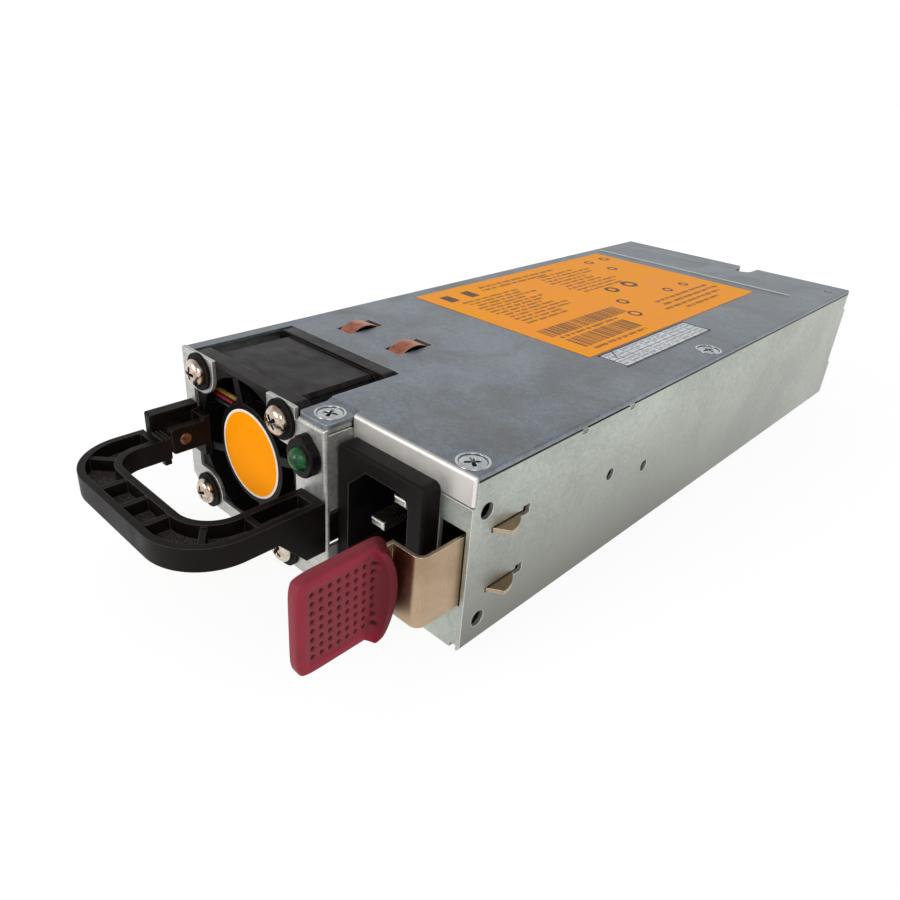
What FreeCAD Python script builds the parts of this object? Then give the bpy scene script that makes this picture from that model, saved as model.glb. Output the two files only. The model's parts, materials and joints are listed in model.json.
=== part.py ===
"""Hot swap server power supply, built as separate sub-parts, one STEP file each.

Frame: origin at the middle of the case's bottom face, +X to the inlet side seen from the front,
+Y towards the rear, +Z up.  Millimetres.  The fan and the lamp column stand a little in front of
the case, the handle and the latch grip further still, and the card connector behind its rear wall.
"""
import FreeCAD, Part
import math
import os

Vector = FreeCAD.Vector

# ---- driving sizes of the case ------------------------------------------------------------------
LENGTH = 196.0          # case, front flange to rear wall
FAN_SIZE = 40.0         # square fan, which sets the height of the case
SHEET = 1.0             # steel sheet of tray, cover and front bracket
BEND = 1.5              # outer radius of the folded edges
NOSE = 6.3              # fan and lamp column in front of the case
FAN_MARGIN = 3.7        # fan to outer face of the left wall
COLUMN_WIDTH = 9.6      # lamp column beside the fan
FRONT_GAP = 0.3         # between the fan and its neighbours
BEZEL_GAP = 0.1         # between the lamp column and the inlet bezel
BEZEL_WIDTH = 24.5      # inlet bezel
LATCH_ZONE = 7.8        # from the inlet bezel to the outer face of the right wall
FIT = 0.15              # clearance between pieces that are slid together
COVER_LIP = 6.3         # height of the cover's front flange
LIP_GAP = 0.3           # cover's front flange to the tray's
LEFT_FLANGE = 6.5       # tray's top flanges, from the outer faces of the walls
RIGHT_FLANGE = 9.5
SKIRT = 3.6             # lower part of the side walls and the bottom behind the rear wall
SKIRT_TOP = 13.0
REAR_STEP = 6.0         # the rear wall's upper edge below the cover
NOSE_CUT = 7.0          # slanted corner of the nose under the fan
TONGUE_STEP = 2.2       # cover's tongue leaves the sheet here, behind the case front
TONGUE_FRONT = 6.8      # tongue before the case front
TONGUE_DROP = 0.6       # tongue below the sheet
TONGUE_SLOPE = 1.6      # length of the step down
TONGUE_SIDE = (0.5, 0.1)                    # tongue's edges to the sides of the column
TONGUE_SCREW_LENGTH = 4.0
SIDE_FLANGE = (4.0, 3.2)                    # bracket's left flange and bottom flange
COVER_SCREWS = ((4.3, 4.1), (4.0, 96.8))    # from the right wall, behind the case front
COVER_SCREW_LENGTH = 5.0
FLAT_HEAD = 3.1         # radius of a countersunk head
THREAD = 1.5            # radius of the small machine screws
TAPPED = 1.3            # radius of their tapped holes
CROSS = (1.7, 0.35, 0.9)                    # half length, half width and depth of a cross recess
WALL_HOLES = ((4.2, 31.5), (4.8, 6.1))      # behind the case front, above the bottom
WALL_HOLE_RADIUS = 1.8
WALL_NOTCHES = (33.2, 51.7)                 # top edge of the right wall, behind the case front
WALL_NOTCH = 2.2
WALL_GROOVE = 0.5       # shallow groove under the cover's edge between the notches
NOTCH_X = 7.5           # round-ended notch in the top rear edge
NOTCH_RADIUS = 3.2
NOTCH_DEPTH = 5.2
DIMPLE = (4.2, 9.3, 1.3)                    # from the right wall, before the rear wall, radius
BEAD = (169.5, 1.0, 0.35)                   # behind the case front, radius, height
BEAD_MARGIN = (2.4, 10.8)                   # bead's ends to the walls
VENT_ROWS = 4
VENT_PITCH = (9.0, 5.5)
VENT = (6.6, 2.6)
VENT_LIFT = 10.0        # lowest row above the board

# ---- fan ----------------------------------------------------------------------------------------
FAN_DEPTH = 28.0
FAN_FLANGE = 3.6
FAN_RECESS = 0.7        # duct wall below the flanges' edges
FAN_BORE = 18.5         # radius of the duct
FAN_PITCH = 32.0        # screw holes
FAN_CORNER = 5.0        # cut corner of the duct between the flanges
MOTOR_RADIUS = 12.2
MOTOR_THICK = 3.0
MOTOR_SET_BACK = 1.1    # motor base behind the front flange's face
ROTOR_GAP = 0.5
ROTOR_LENGTH = 20.0
HUB_WALL = 0.9
BLADE_COUNT = 7
BLADE_THICK = 1.1
BLADE_TIP_GAP = 0.5
BLADE_PITCH = 38.0      # degrees from the fan's plane
SHAFT_RADIUS = 1.5
BEARING_RADIUS = 4.0
BEARING_LENGTH = 4.0
TUBE_WALL = 0.9
RUNNING = 0.03          # radial clearance of the shaft in its bearings
SCREW_RADIUS = 1.5      # fan screws
HEAD_RADIUS = 3.25
HEAD_HEIGHT = 2.2
GROMMET_RADIUS = 4.5
GROMMET_THICK = 0.8
GROMMET_NECK = 2.95
EAR_RADIUS = 5.4
STRUTS = (15.0, 105.0, 195.0, 285.0)        # directions of the struts seen from the front
STRUT = (2.0, 2.6)      # width and depth
BASE_WALL = 1.2         # motor base in front of the first bearing
TUBE_LENGTH = 13.5
BEARING_PITCH = 8.8
BLADE_CHORD = 15.0
MAGNET_THICK = 1.0
MAGNET_LENGTH = 11.0
STATOR_START = 2.6      # behind the rotor's front rim
STATOR_DEPTH = 6.0
STATOR_GAP = 0.6        # between the poles and the magnet
POLES = 4
POLE_ARM = 2.4
POLE_SHOE = 8.4
COIL = (1.8, 5.0, 1.2)  # along the arm, across it, and in front of the core
HUB_LABEL_MARGIN = 1.3
HUB_LABEL_THICK = 0.15
FAN_SCREW_LENGTH = 9.0
LEAD_RADIUS = 0.55
LEAD_LOW = 27.6         # lowest of the three leads
LEAD_STEP = 1.5
LEAD_BEND = 1.3
PLUG = (8.0, 5.2, 6.0)  # connector of the leads on the board
PLUG_PITCH = 1.6
PLUG_PLACE = (10.5, 4.0)                    # from the board's left and front edges

# ---- status lamp --------------------------------------------------------------------------------
LAMP_RADIUS = 2.7
LAMP_HEIGHT = 31.0      # above the bottom
LAMP_PROUD = 4.4        # dome in front of the bracket
LAMP_BODY = 6.0         # length behind the dome
LAMP_NECK = 4.0         # holder behind the bracket's face
LAMP_LEAD_RADIUS = 0.45
LAMP_LEAD_PITCH = 1.6
HOLDER_RADIUS = 4.3
HOLDER_THICK = 2.4
HOLDER_LOBE = 1.9       # radius of the small lobe above the lamp
LOBE_RISE = 3.2

# ---- handle -------------------------------------------------------------------------------------
HANDLE_REACH = 32.7     # bracket face to the front of the loop
HANDLE_BAR = 8.6        # width of the loop's front bar
HANDLE_LEFT_ARM = 8.3
HANDLE_RIGHT_ARM = 7.8
HANDLE_TOP = 22.5       # above the bottom
HANDLE_THICK = 5.2
HANDLE_RIM = 1.6
HANDLE_POCKET = 3.3     # depth of the pockets
HANDLE_RIB = 1.3
HANDLE_RADIUS = 13.5    # outer corners
HANDLE_LEFT_INSIDE = 6.5
HANDLE_RIGHT_INSIDE = 8.0
HANDLE_RIBS = (0.345, 0.515, 0.68)          # ribs across the front bar, share of its length
CORNER_RIBS = (222.0, -36.0)                # directions of the ribs in the left and right corners
ARM_RIB = 14.6          # rib across the right arm, before the bracket
RIB_DROP = 0.4          # ribs below the rim
POCKET_END = (1.5, 2.2)                     # left and right arm behind the pocket
HANDLE_FOOT = 12.0      # height of the right arm where it meets the column
HANDLE_FOOT_DEPTH = 4.9
FOOT_SLOPE = 7.0
ARM_GAP = 0.3           # right arm's end to the column
HOOK_LOW = 11.6
HOOK_HIGH = 18.6
HOOK_GAP = 0.3          # hook to its slot in the column
HOOK_SIDE = (2.9, 1.8)  # hook's neck to the sides of the column
EYE_RADIUS = 3.1
LUG_SEAT = 1.3          # bracket's metal left beside the lug's opening
LUG_LOW = 13.2
LUG_HIGH = 25.4
LUG_WIDE = 4.6          # opening's inner edge from the left wall
LUG_BASE = 1.6          # base plate of the lug
LUG_RISE = 4.5          # outer cheek above the handle
CHEEK_REACH = 3.4       # inner cheek before the pin's axis
LUG_CHEEK = 1.8         # inner cheek
LUG_BLOCK = 3.0         # outer cheek
LUG_FRONT = 12.2        # outer cheek's front end before the bracket
PIN_RADIUS = 1.4
PIN_HEIGHT = 21.3
PIN_REACH = 6.4         # pin axis before the bracket

# ---- mains inlet --------------------------------------------------------------------------------
INLET_HEIGHT = 19.5     # centre above the bottom
BEZEL_HEIGHT = 31.8
BEZEL_PROUD = 4.3
RECESS_WIDTH = 16.9
RECESS_HEIGHT = 24.8
RECESS_DEPTH = 17.0
RECESS_CORNER_X = 5.0   # cut corners on the earth side
RECESS_CORNER_Z = 4.6
RECESS_RADIUS = 3.0
INLET_WALL = 1.8
WING = (0.9, 3.6, 12.0) # snap wings of the housing: reach, depth, height
PIN_LONG = 4.0          # blade section
PIN_SHORT = 2.0
PIN_SPREAD = 7.0        # line and neutral from the middle
EARTH_SIDE = 2.7        # earth blade from the middle, towards the cut corners
LINE_SIDE = 2.3         # line and neutral blades from the middle, the other way
BLADE_REACH = 13.0      # blades in front of the recess's floor
EARTH_REACH = 14.3
TAB_REACH = 6.0         # solder tabs behind the housing
MAINS_WIRE_RADIUS = 1.3
MAINS_WIRE_BEND = 1.5
WIRE_PLACE = 3.4        # first wire's foot behind the board's front edge
WIRE_PITCH = 3.2

# ---- release latch ------------------------------------------------------------------------------
STRIP = 0.8
STRIP_LOW = 11.5
STRIP_HIGH = 27.2
STRIP_GAP = 0.2         # between strip and wall
STRIP_REACH = 11.2      # front leg before the case
LATCH_PIVOT = 46.0      # bending line behind the case front
STRIP_END = 71.0
RIVETS = ((48.3, 22.5), (64.4, 18.9))
RIVET_RADIUS = 1.5
RIVET_HEAD = (2.5, 0.9) # radius and height
GRIP_CLEAR = 6.0        # grip's outer face to the strip's
GRIP_THICK = 3.0
GRIP_HEIGHT = 20.4
GRIP_LENGTH = 23.0
GRIP_BULGE = 2.4        # the rear edge is an arc
GRIP_RIM = 1.9
GRIP_DISH = 0.5
GRIP_CORE = 12.0        # strip's tongue inside the grip
GRIP_OVERLAP = 1.2      # grip behind the strip's front leg
GRIP_FLARE = (8.0, 1.6) # length and height of the flare towards the rear edge
BARB_LEVELS = (12.2, 26.3)
BARB_START = 6.6
BARB_FRONT = 2.0        # steep front of a barb
BARB_END = 15.4
BARB_PROUD = 3.0
BARB_SLOT = 0.7         # half height of a barb's slot
SLOT_END = (2.3, 0.9, 1.4)                  # length of the square end, below and above the barb

# ---- earthing fingers ---------------------------------------------------------------------------
FINGER_X = (-28.3, -10.0)
FINGER_WIDTH = 4.8
FINGER_THICK = 0.25
SLOT_START = 29.6
SLOT_LENGTH = 11.6
SLOT_MARGIN = 0.4
FINGER_PROUD = 1.0
FINGER_STRIP = (0.45, 6.0)                  # thickness and width of the strip behind the slots
FINGER_ROOT = 2.8       # flat root of a finger behind its slot
FINGER_JOINT = 0.15     # between a finger's root and the strip

# ---- labels -------------------------------------------------------------------------------------
LABEL_THICK = 0.1
RATING_LABEL = (4.7, 20.2, 66.1, 163.6)     # from the left and right walls, behind the case front
CHECK_LABEL = (19.6, 10.7, 68.1, 112.6)     # both sides from the right wall, behind the case front

# ---- main board and what stands on it -----------------------------------------------------------
BOARD_THICK = 1.6
BOARD_LIFT = 3.2        # above the tray's inner face
BOARD_START = 27.0      # behind the case front
BOARD_MARGIN = 2.6      # to the walls' inner faces
EDGE_WIDTH = 58.0       # card connector
EDGE_REACH = 9.0        # behind the rear wall
EDGE_PITCH = 2.2
EDGE_MARGIN = 1.5       # outermost pads to the connector's sides
EDGE_KEY = (6.9, 1.8)   # middle and width of the key slot
PAD_WIDTH = 1.5
PAD_THICK = 0.1
INSULATOR = 0.3
POST_INSET = 2.6        # board posts from the board's sides
POST_SHARES = (0.03, 0.5, 0.97)
POST_RADIUS = 2.8
POST_BORE = 1.35
BOARD_HOLE = 1.6
BOARD_HEAD = (2.7, 1.8) # radius and height of the board screws' heads
CHOKES = ((16.0, 0.30, 10.5, 5.8, 9.0, 24),      # x, share of the board, outer, inner, height, turns
          (-14.0, 0.21, 10.5, 5.8, 9.0, 24),
          (6.0, 0.54, 13.0, 7.0, 13.0, 30))
CHOKE_WIRE = 1.1
CHOKE_LIFT = 1.2
X_CAPACITORS = ((8.0, 0.12, 18.5, 9.0, 17.0),    # x, share of the board, width, depth, height
                (-8.0, 0.31, 8.5, 17.5, 16.0))
FUSE_SHARE = 0.075
FUSE_CAPS = (-4.5, 11.0)
FUSE_CAP = (3.2, 5.0)   # radius and length
FUSE_LIFT = 3.4
HEATSINK_THICK = 2.5
FIN = (5.0, 1.2, 4.0)   # reach from the middle of the plate, thickness, pitch
PRIMARY_SINK = (10.5, 0.40, 0.76, 26.0)     # from the board's right edge, shares of the board, height
SECONDARY_SINK = (-2.0, 0.80, 0.975, 24.0)  # x, shares of the board, height
PACKAGE = (4.6, 10.0, 15.0)                 # power package: thickness, width, height
PACKAGE_LIFT = 5.0
LEG_PITCH = 2.54
PRIMARY_PACKAGES = (0.53, 0.62, 0.71)
OUTPUT_PACKAGES = (0.835, 10.6, 2)          # first one's share of the board, pitch, count
BRIDGE = (4.4, 12.5, 17.0)                  # thickness, width, height
BRIDGE_SHARE = 0.445
BRIDGE_PITCH = 3.4
BULK_RADIUS = 14.0
BULK_LENGTH = 42.0
BULK_SHARE = 0.475
BULK_LEGS = 10.0
TRANSFORMER = (7.0, 0.72)                   # x, share of the board
FERRITE = (32.0, 16.0, 24.0)
FERRITE_LIFT = 5.0
FERRITE_OUTER = 3.5     # outer limbs and yokes
FERRITE_POST = 9.0
COIL_DEPTH = 24.0       # taped winding, front to rear
OUTPUT_CHOKE = (12.0, 0.85, 18.0, 16.0, 15.0)    # from the board's left edge, share, size
OUTPUT_CANS = (13.5, 0.88, 9.4, 9.6, 4.0, 19.0)  # x, share, pitches, radius, height
OUTPUT_ROWS = (3, 2)
BARS = (-24.0, -13.0)
BAR = (8.0, 1.2, 13.0)  # width, thickness, height
BAR_SHARE = 0.945
CARD = (2.0, 0.78, 26.0, 25.0)              # from the board's left edge, share, width, height
CARD_THICK = 1.2
CHIPS = ((4.0, 11.0, 8.0, 15.0, 1.3),       # sides, bottom and top on the card, thickness
         (15.0, 22.0, 6.0, 11.0, 1.3),
         (8.0, 18.0, 18.0, 22.0, 1.1))

# ---- places that follow from the sizes ----------------------------------------------------------
HEIGHT = FAN_SIZE
WIDTH = FAN_MARGIN + FAN_SIZE + FRONT_GAP + COLUMN_WIDTH + BEZEL_GAP + BEZEL_WIDTH + LATCH_ZONE
LEFT = -WIDTH / 2
RIGHT = WIDTH / 2
FRONT = -LENGTH / 2
REAR = LENGTH / 2
LID = HEIGHT - SHEET                       # underside of the cover
NOSE_BACK = FRONT - NOSE                   # back of the front bracket
FACE = NOSE_BACK - SHEET                   # front of the front bracket
FAN_X = LEFT + FAN_MARGIN + FAN_SIZE / 2
FAN_Z = FAN_SIZE / 2
FAN_BACK = NOSE_BACK + FAN_DEPTH
COLUMN_LEFT = FAN_X + FAN_SIZE / 2 + FRONT_GAP
COLUMN_RIGHT = COLUMN_LEFT + COLUMN_WIDTH
BEZEL_LEFT = COLUMN_RIGHT + BEZEL_GAP
BEZEL_RIGHT = BEZEL_LEFT + BEZEL_WIDTH
INLET_X = BEZEL_LEFT + BEZEL_WIDTH / 2 - 0.2
LAMP_X = COLUMN_LEFT + 4.3
STRIP_OUT = RIGHT - SHEET - STRIP_GAP
STRIP_IN = STRIP_OUT - STRIP
STRIP_FRONT = FRONT - STRIP_REACH
GRIP_OUT = STRIP_OUT - GRIP_CLEAR
GRIP_IN = GRIP_OUT - GRIP_THICK
BOARD_LOW = SHEET + BOARD_LIFT
BOARD_TOP = BOARD_LOW + BOARD_THICK
BOARD_LEFT = LEFT + SHEET + BOARD_MARGIN
BOARD_RIGHT = RIGHT - SHEET - BOARD_MARGIN
BOARD_FRONT = FRONT + BOARD_START
BOARD_REAR = REAR - SHEET - 1.5
FLAT_DEPTH = SHEET                         # countersunk heads are as deep as the sheet
BASE_Y = NOSE_BACK + MOTOR_SET_BACK        # front of the motor base
PLUG_X = BOARD_LEFT + PLUG_PLACE[0]
PLUG_Y = BOARD_FRONT + PLUG_PLACE[1]
HANDLE_LEFT = LEFT + 1.6
HANDLE_RIGHT = COLUMN_RIGHT + 0.5
ARM_RIGHT = HANDLE_LEFT + HANDLE_LEFT_ARM  # inner face of the left arm
FOOT_LEFT = HANDLE_RIGHT - HANDLE_RIGHT_ARM                # inner face of the right arm
HANDLE_FRONT = FACE - HANDLE_REACH
HANDLE_LOW = HANDLE_TOP - HANDLE_THICK
LEFT_ARM_END = FACE - LUG_FRONT - 0.4      # where the loop's left arm turns into the tongue
BLOCK_LEFT = HANDLE_LEFT + 0.2             # outer face of the lug's outer cheek
TONGUE = (BLOCK_LEFT + LUG_BLOCK + FIT, ARM_RIGHT - LUG_CHEEK - FIT)
PIN_Y = FACE - PIN_REACH
PRIMARY_X = BOARD_RIGHT - PRIMARY_SINK[0]
SECONDARY_X = SECONDARY_SINK[0]
CARD_X = BOARD_LEFT + CARD[0]

X_AXIS = Vector(1, 0, 0)
Y_AXIS = Vector(0, 1, 0)
Z_AXIS = Vector(0, 0, 1)
TINY = 0.01


# ---- helpers ------------------------------------------------------------------------------------
def box(x0, x1, y0, y1, z0, z1):
    """Block between two corners."""
    return Part.makeBox(x1 - x0, y1 - y0, z1 - z0, Vector(x0, y0, z0))


def rod(x, y, z, radius, length, axis):
    """Cylinder that starts at a point and runs along an axis."""
    return Part.makeCylinder(radius, length, Vector(x, y, z), axis)


def tube(x, y, z, outer, inner, length, axis):
    """Ring or sleeve that starts at a point and runs along an axis."""
    return rod(x, y, z, outer, length, axis).cut(rod(x, y, z, inner, length, axis))


def prism(points, run):
    """Flat outline of points, pushed along a vector."""
    return Part.Face(Part.makePolygon(points + [points[0]])).extrude(run)


def join(shapes):
    """One solid from several that overlap or touch."""
    whole = shapes[0].fuse(shapes[1:]) if len(shapes) > 1 else shapes[0]
    return whole.removeSplitter()


def cut_all(shape, tools):
    """Remove every tool from a shape."""
    for tool in tools:
        shape = shape.cut(tool)
    return shape


def round_edges(shape, radius, chosen):
    """Fillet the edges whose middle point passes a test."""
    edges = [edge for edge in shape.Edges if chosen(edge.CenterOfMass, edge)]
    return shape.makeFillet(radius, edges)


def runs_along(edge, axis):
    """True for a straight edge that is parallel to an axis."""
    if not isinstance(edge.Curve, (Part.Line, Part.LineSegment)):
        return False
    return abs(abs(edge.tangentAt(edge.FirstParameter).dot(axis)) - 1) < TINY


def bent_wire(points, radius, bend):
    """Round wire along straight runs joined by tangent arcs."""
    edges = []
    last = points[0]
    for before, corner, after in zip(points, points[1:], points[2:]):
        back = (before - corner).normalize()
        ahead = (after - corner).normalize()
        half = back.getAngle(ahead) / 2
        trim = bend / math.tan(half)
        middle = (back + ahead).normalize()
        start = corner + back * trim
        end = corner + ahead * trim
        top = corner + middle * (bend / math.sin(half) - bend)
        edges.append(Part.LineSegment(last, start).toShape())
        edges.append(Part.Arc(start, top, end).toShape())
        last = end
    edges.append(Part.LineSegment(last, points[-1]).toShape())
    path = Part.Wire(edges)
    ring = Part.Wire(Part.Circle(points[0], points[1] - points[0], radius).toShape())
    return path.makePipeShell([ring], True, False)


def front_rounded(x0, x1, y0, y1, left_radius, right_radius):
    """Outline of a rectangle whose two corners at y0 are rounded."""
    a = math.sqrt(0.5)
    lc = Vector(x0 + left_radius, y0 + left_radius, 0)
    rc = Vector(x1 - right_radius, y0 + right_radius, 0)
    left_arc = Part.Arc(lc + Vector(-left_radius, 0, 0), lc + Vector(-a, -a, 0) * left_radius,
                        lc + Vector(0, -left_radius, 0)).toShape()
    right_arc = Part.Arc(rc + Vector(0, -right_radius, 0), rc + Vector(a, -a, 0) * right_radius,
                         rc + Vector(right_radius, 0, 0)).toShape()
    lines = [Part.LineSegment(Vector(x0, y1, 0), Vector(x0, lc.y, 0)).toShape(), left_arc,
             Part.LineSegment(Vector(lc.x, y0, 0), Vector(rc.x, y0, 0)).toShape(), right_arc,
             Part.LineSegment(Vector(x1, rc.y, 0), Vector(x1, y1, 0)).toShape(),
             Part.LineSegment(Vector(x1, y1, 0), Vector(x0, y1, 0)).toShape()]
    return Part.Face(Part.Wire(lines))


def rounded_block(x0, x1, y0, y1, z0, z1, radius, axis):
    """Block whose four edges along an axis are rounded."""
    block = box(x0, x1, y0, y1, z0, z1)
    return round_edges(block, radius, lambda middle, edge: runs_along(edge, axis))


def save(node, solids):
    """Write one node; several loose solids go out as a group."""
    shape = solids[0] if len(solids) == 1 else Part.makeCompound(solids)
    shape.exportStep("parts/%s.step" % node)
    print(node, len(shape.Solids), "solid(s)", round(shape.Volume, 1), "mm3")


# ---- case ---------------------------------------------------------------------------------------
def cover_screw_points():
    """Screws that hold the cover down on the tray's right flange."""
    return [(RIGHT - x, FRONT + y) for x, y in COVER_SCREWS]


def tab_screw_point():
    """Screw through the cover's tongue."""
    return (COLUMN_LEFT + COLUMN_WIDTH / 2 + 0.4, FRONT - 2.3)


def wall_openings():
    """Slots of the barbs, each with a square end, and round holes in the right wall."""
    tools = []
    slot_end = FRONT + BARB_END + 0.6
    square, below, above = SLOT_END
    for level in BARB_LEVELS:
        tools.append(box(RIGHT - 2 * SHEET, RIGHT + 1, FRONT + BARB_START - 0.5, slot_end,
                         level - BARB_SLOT, level + BARB_SLOT))
        tools.append(box(RIGHT - 2 * SHEET, RIGHT + 1, slot_end - 0.5, slot_end - 0.5 + square,
                         level - below, level + above))
    for y, z in WALL_HOLES:
        tools.append(rod(RIGHT - 2 * SHEET, FRONT + y, z, WALL_HOLE_RADIUS, 3 * SHEET, X_AXIS))
    for y, z in RIVETS:
        tools.append(rod(RIGHT - 2 * SHEET, FRONT + y, z, RIVET_RADIUS, 3 * SHEET, X_AXIS))
    for y in WALL_NOTCHES:
        tools.append(box(RIGHT - SHEET / 2, RIGHT + 1, FRONT + y, FRONT + y + WALL_NOTCH,
                         LID - 1.6, HEIGHT))
    tools.append(box(RIGHT - SHEET / 2, RIGHT + 1, FRONT + WALL_NOTCHES[0], FRONT + WALL_NOTCHES[1],
                     LID - WALL_GROOVE, HEIGHT))
    return tools


def rear_vents():
    """Rows of short slots across the rear wall, above the card connector."""
    tools = []
    across, up = VENT_PITCH
    half_x, half_z = VENT[0] / 2, VENT[1] / 2
    columns = int((WIDTH - 16) // across)
    for row in range(VENT_ROWS):
        for column in range(columns):
            x = (column - (columns - 1) / 2) * across
            z = BOARD_TOP + VENT_LIFT + row * up
            tools.append(rounded_block(x - half_x, x + half_x, REAR - 2 * SHEET, REAR + 1,
                                       z - half_z, z + half_z, half_z - 0.1, Y_AXIS))
    return tools


def latch_window():
    """Opening in the front flange that the latch strip moves in."""
    return box(BEZEL_RIGHT + 0.2, RIGHT - SHEET, FRONT - 1, FRONT + 3 * SHEET,
               STRIP_LOW - 0.5, STRIP_HIGH + 1.0)


def inlet_window():
    """Opening in the front flange for the inlet's housing."""
    half_x = RECESS_WIDTH / 2 + INLET_WALL + FIT
    half_z = RECESS_HEIGHT / 2 + INLET_WALL + FIT
    return box(INLET_X - half_x, INLET_X + half_x, FRONT - 1, FRONT + 3 * SHEET,
               INLET_HEIGHT - half_z, INLET_HEIGHT + half_z)


def rear_notch():
    """Round-ended notch in the top rear edge, for the cover and the rear wall."""
    end = REAR - NOTCH_DEPTH
    return [box(NOTCH_X - NOTCH_RADIUS, NOTCH_X + NOTCH_RADIUS, end, REAR + 1, LID - 3, HEIGHT + 1),
            rod(NOTCH_X, end, LID - 3, NOTCH_RADIUS, 6, Z_AXIS)]


def chassis_tray():
    """Folded tray: bottom, walls, rear wall, top flanges, front flange, nose under the fan."""
    end = REAR + SKIRT
    shell = box(LEFT, RIGHT, FRONT, end, 0, LID)
    shell = round_edges(shell, BEND, lambda c, e: runs_along(e, Y_AXIS) and c.z < TINY)
    shell = shell.cut(box(LEFT + SHEET, RIGHT - SHEET, FRONT - 1, REAR - SHEET, SHEET, HEIGHT))
    shell = shell.cut(box(LEFT + SHEET, RIGHT - SHEET, REAR, end + 1, SHEET, HEIGHT))
    nose = box(LEFT, COLUMN_RIGHT, NOSE_BACK, FRONT + SHEET, 0, LID)
    nose = nose.cut(box(LEFT + SHEET, COLUMN_RIGHT + 1, NOSE_BACK - 1, FRONT + 2, SHEET, HEIGHT))
    lip_top = HEIGHT - COVER_LIP - LIP_GAP
    lip = box(COLUMN_RIGHT, RIGHT - SHEET / 2, FRONT, FRONT + SHEET, SHEET / 2, lip_top)
    behind = box(COLUMN_RIGHT, RIGHT - SHEET / 2, FRONT + SHEET, FRONT + 2 * SHEET, lip_top - 4, LID)
    right_flange = box(RIGHT - RIGHT_FLANGE, RIGHT - SHEET / 2, FRONT + SHEET, REAR - SHEET / 2,
                       LID - SHEET, LID)
    left_flange = box(LEFT + SHEET / 2, LEFT + LEFT_FLANGE, FAN_BACK + 2, REAR - SHEET / 2,
                      LID - SHEET, LID)
    tray = join([shell, nose, lip, behind, right_flange, left_flange])
    tools = wall_openings() + rear_vents() + rear_notch()
    tools.append(latch_window())
    tools.append(inlet_window())
    tools.append(box(LEFT - 1, RIGHT + 1, REAR + SKIRT / 2, end + 1, SKIRT_TOP, HEIGHT))
    tools.append(box(LEFT - 1, RIGHT + 1, REAR, end + 1, LID - REAR_STEP, HEIGHT))
    tools.append(box(RIGHT - 2.6, RIGHT - SHEET, FRONT - 1, FRONT + 1.6, -1, 1.3))
    tools.append(box(COLUMN_RIGHT, RIGHT + 1, FRONT - 1, FRONT + SHEET, lip_top, HEIGHT))
    tools.append(box(FAN_X - FAN_SIZE / 2 - FRONT_GAP, COLUMN_LEFT, NOSE_BACK - 1,
                     FAN_BACK + FRONT_GAP, -1, SHEET + 1))
    tools.append(prism([Vector(LEFT - 1, NOSE_BACK - 1, -1), Vector(LEFT - 1, NOSE_BACK - 1, NOSE_CUT),
                        Vector(LEFT + NOSE_CUT, NOSE_BACK - 1, -1)], Vector(0, NOSE - 1, 0)))
    tools.append(box(-EDGE_WIDTH / 2 - 2, EDGE_WIDTH / 2 + 2, REAR - 2 * SHEET, REAR + 1,
                     BOARD_LOW - 2.5, BOARD_TOP + 5.0))
    for x, y in cover_screw_points():
        tools.append(rod(x, y, LID - 2 * SHEET, TAPPED, 3 * SHEET, Z_AXIS))
    for x, y in standoff_points():
        tools.append(rod(x, y, -1, POST_BORE + FIT / 3, 3, Z_AXIS))
    return [cut_all(tray, tools)]


def flat_screw(x, y, top, length):
    """Countersunk screw with a cross recess, its head level with a surface."""
    head = Part.makeCone(THREAD, FLAT_HEAD, FLAT_DEPTH, Vector(x, y, top - FLAT_DEPTH), Z_AXIS)
    shank = rod(x, y, top - length, TAPPED - 0.02, length - FLAT_DEPTH + TINY, Z_AXIS)
    long, half, deep = CROSS
    arms = [box(x - long, x + long, y - half, y + half, top - deep, top + 1),
            box(x - half, x + half, y - long, y + long, top - deep, top + 1)]
    return cut_all(join([head, shank]), arms)


def countersink(x, y, top):
    """Hole and cone for a flat head."""
    clear = FIT / 2
    cone = Part.makeCone(THREAD + clear, FLAT_HEAD + clear, FLAT_DEPTH,
                         Vector(x, y, top - FLAT_DEPTH), Z_AXIS)
    return join([cone, rod(x, y, top - 4, THREAD + clear, 4, Z_AXIS)])


def finger_slots():
    """Slots in the cover for the earthing fingers."""
    half = FINGER_WIDTH / 2 + SLOT_MARGIN
    y0 = FRONT + SLOT_START
    return [box(x - half, x + half, y0, y0 + SLOT_LENGTH, LID - 1, HEIGHT + 1) for x in FINGER_X]


def cover_tongue():
    """Strip of the cover that steps down over the lamp column, with rounded front corners."""
    step, front = FRONT + TONGUE_STEP, FRONT - TONGUE_FRONT
    top, low = HEIGHT - TONGUE_DROP, LID - TONGUE_DROP
    left, right = COLUMN_LEFT + TONGUE_SIDE[0], COLUMN_RIGHT - TONGUE_SIDE[1]
    side = [(step + SHEET, LID), (step + SHEET, HEIGHT), (step, HEIGHT), (step - TONGUE_SLOPE, top),
            (front, top), (front, low), (step - TONGUE_SLOPE, low), (step, LID)]
    tongue = prism([Vector(left, y, z) for y, z in side], Vector(right - left, 0, 0))
    tongue = round_edges(tongue, 1.2, lambda c, e: runs_along(e, Z_AXIS) and c.y < front + TINY)
    x, y = tab_screw_point()
    return tongue.cut(countersink(x, y, top))


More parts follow.
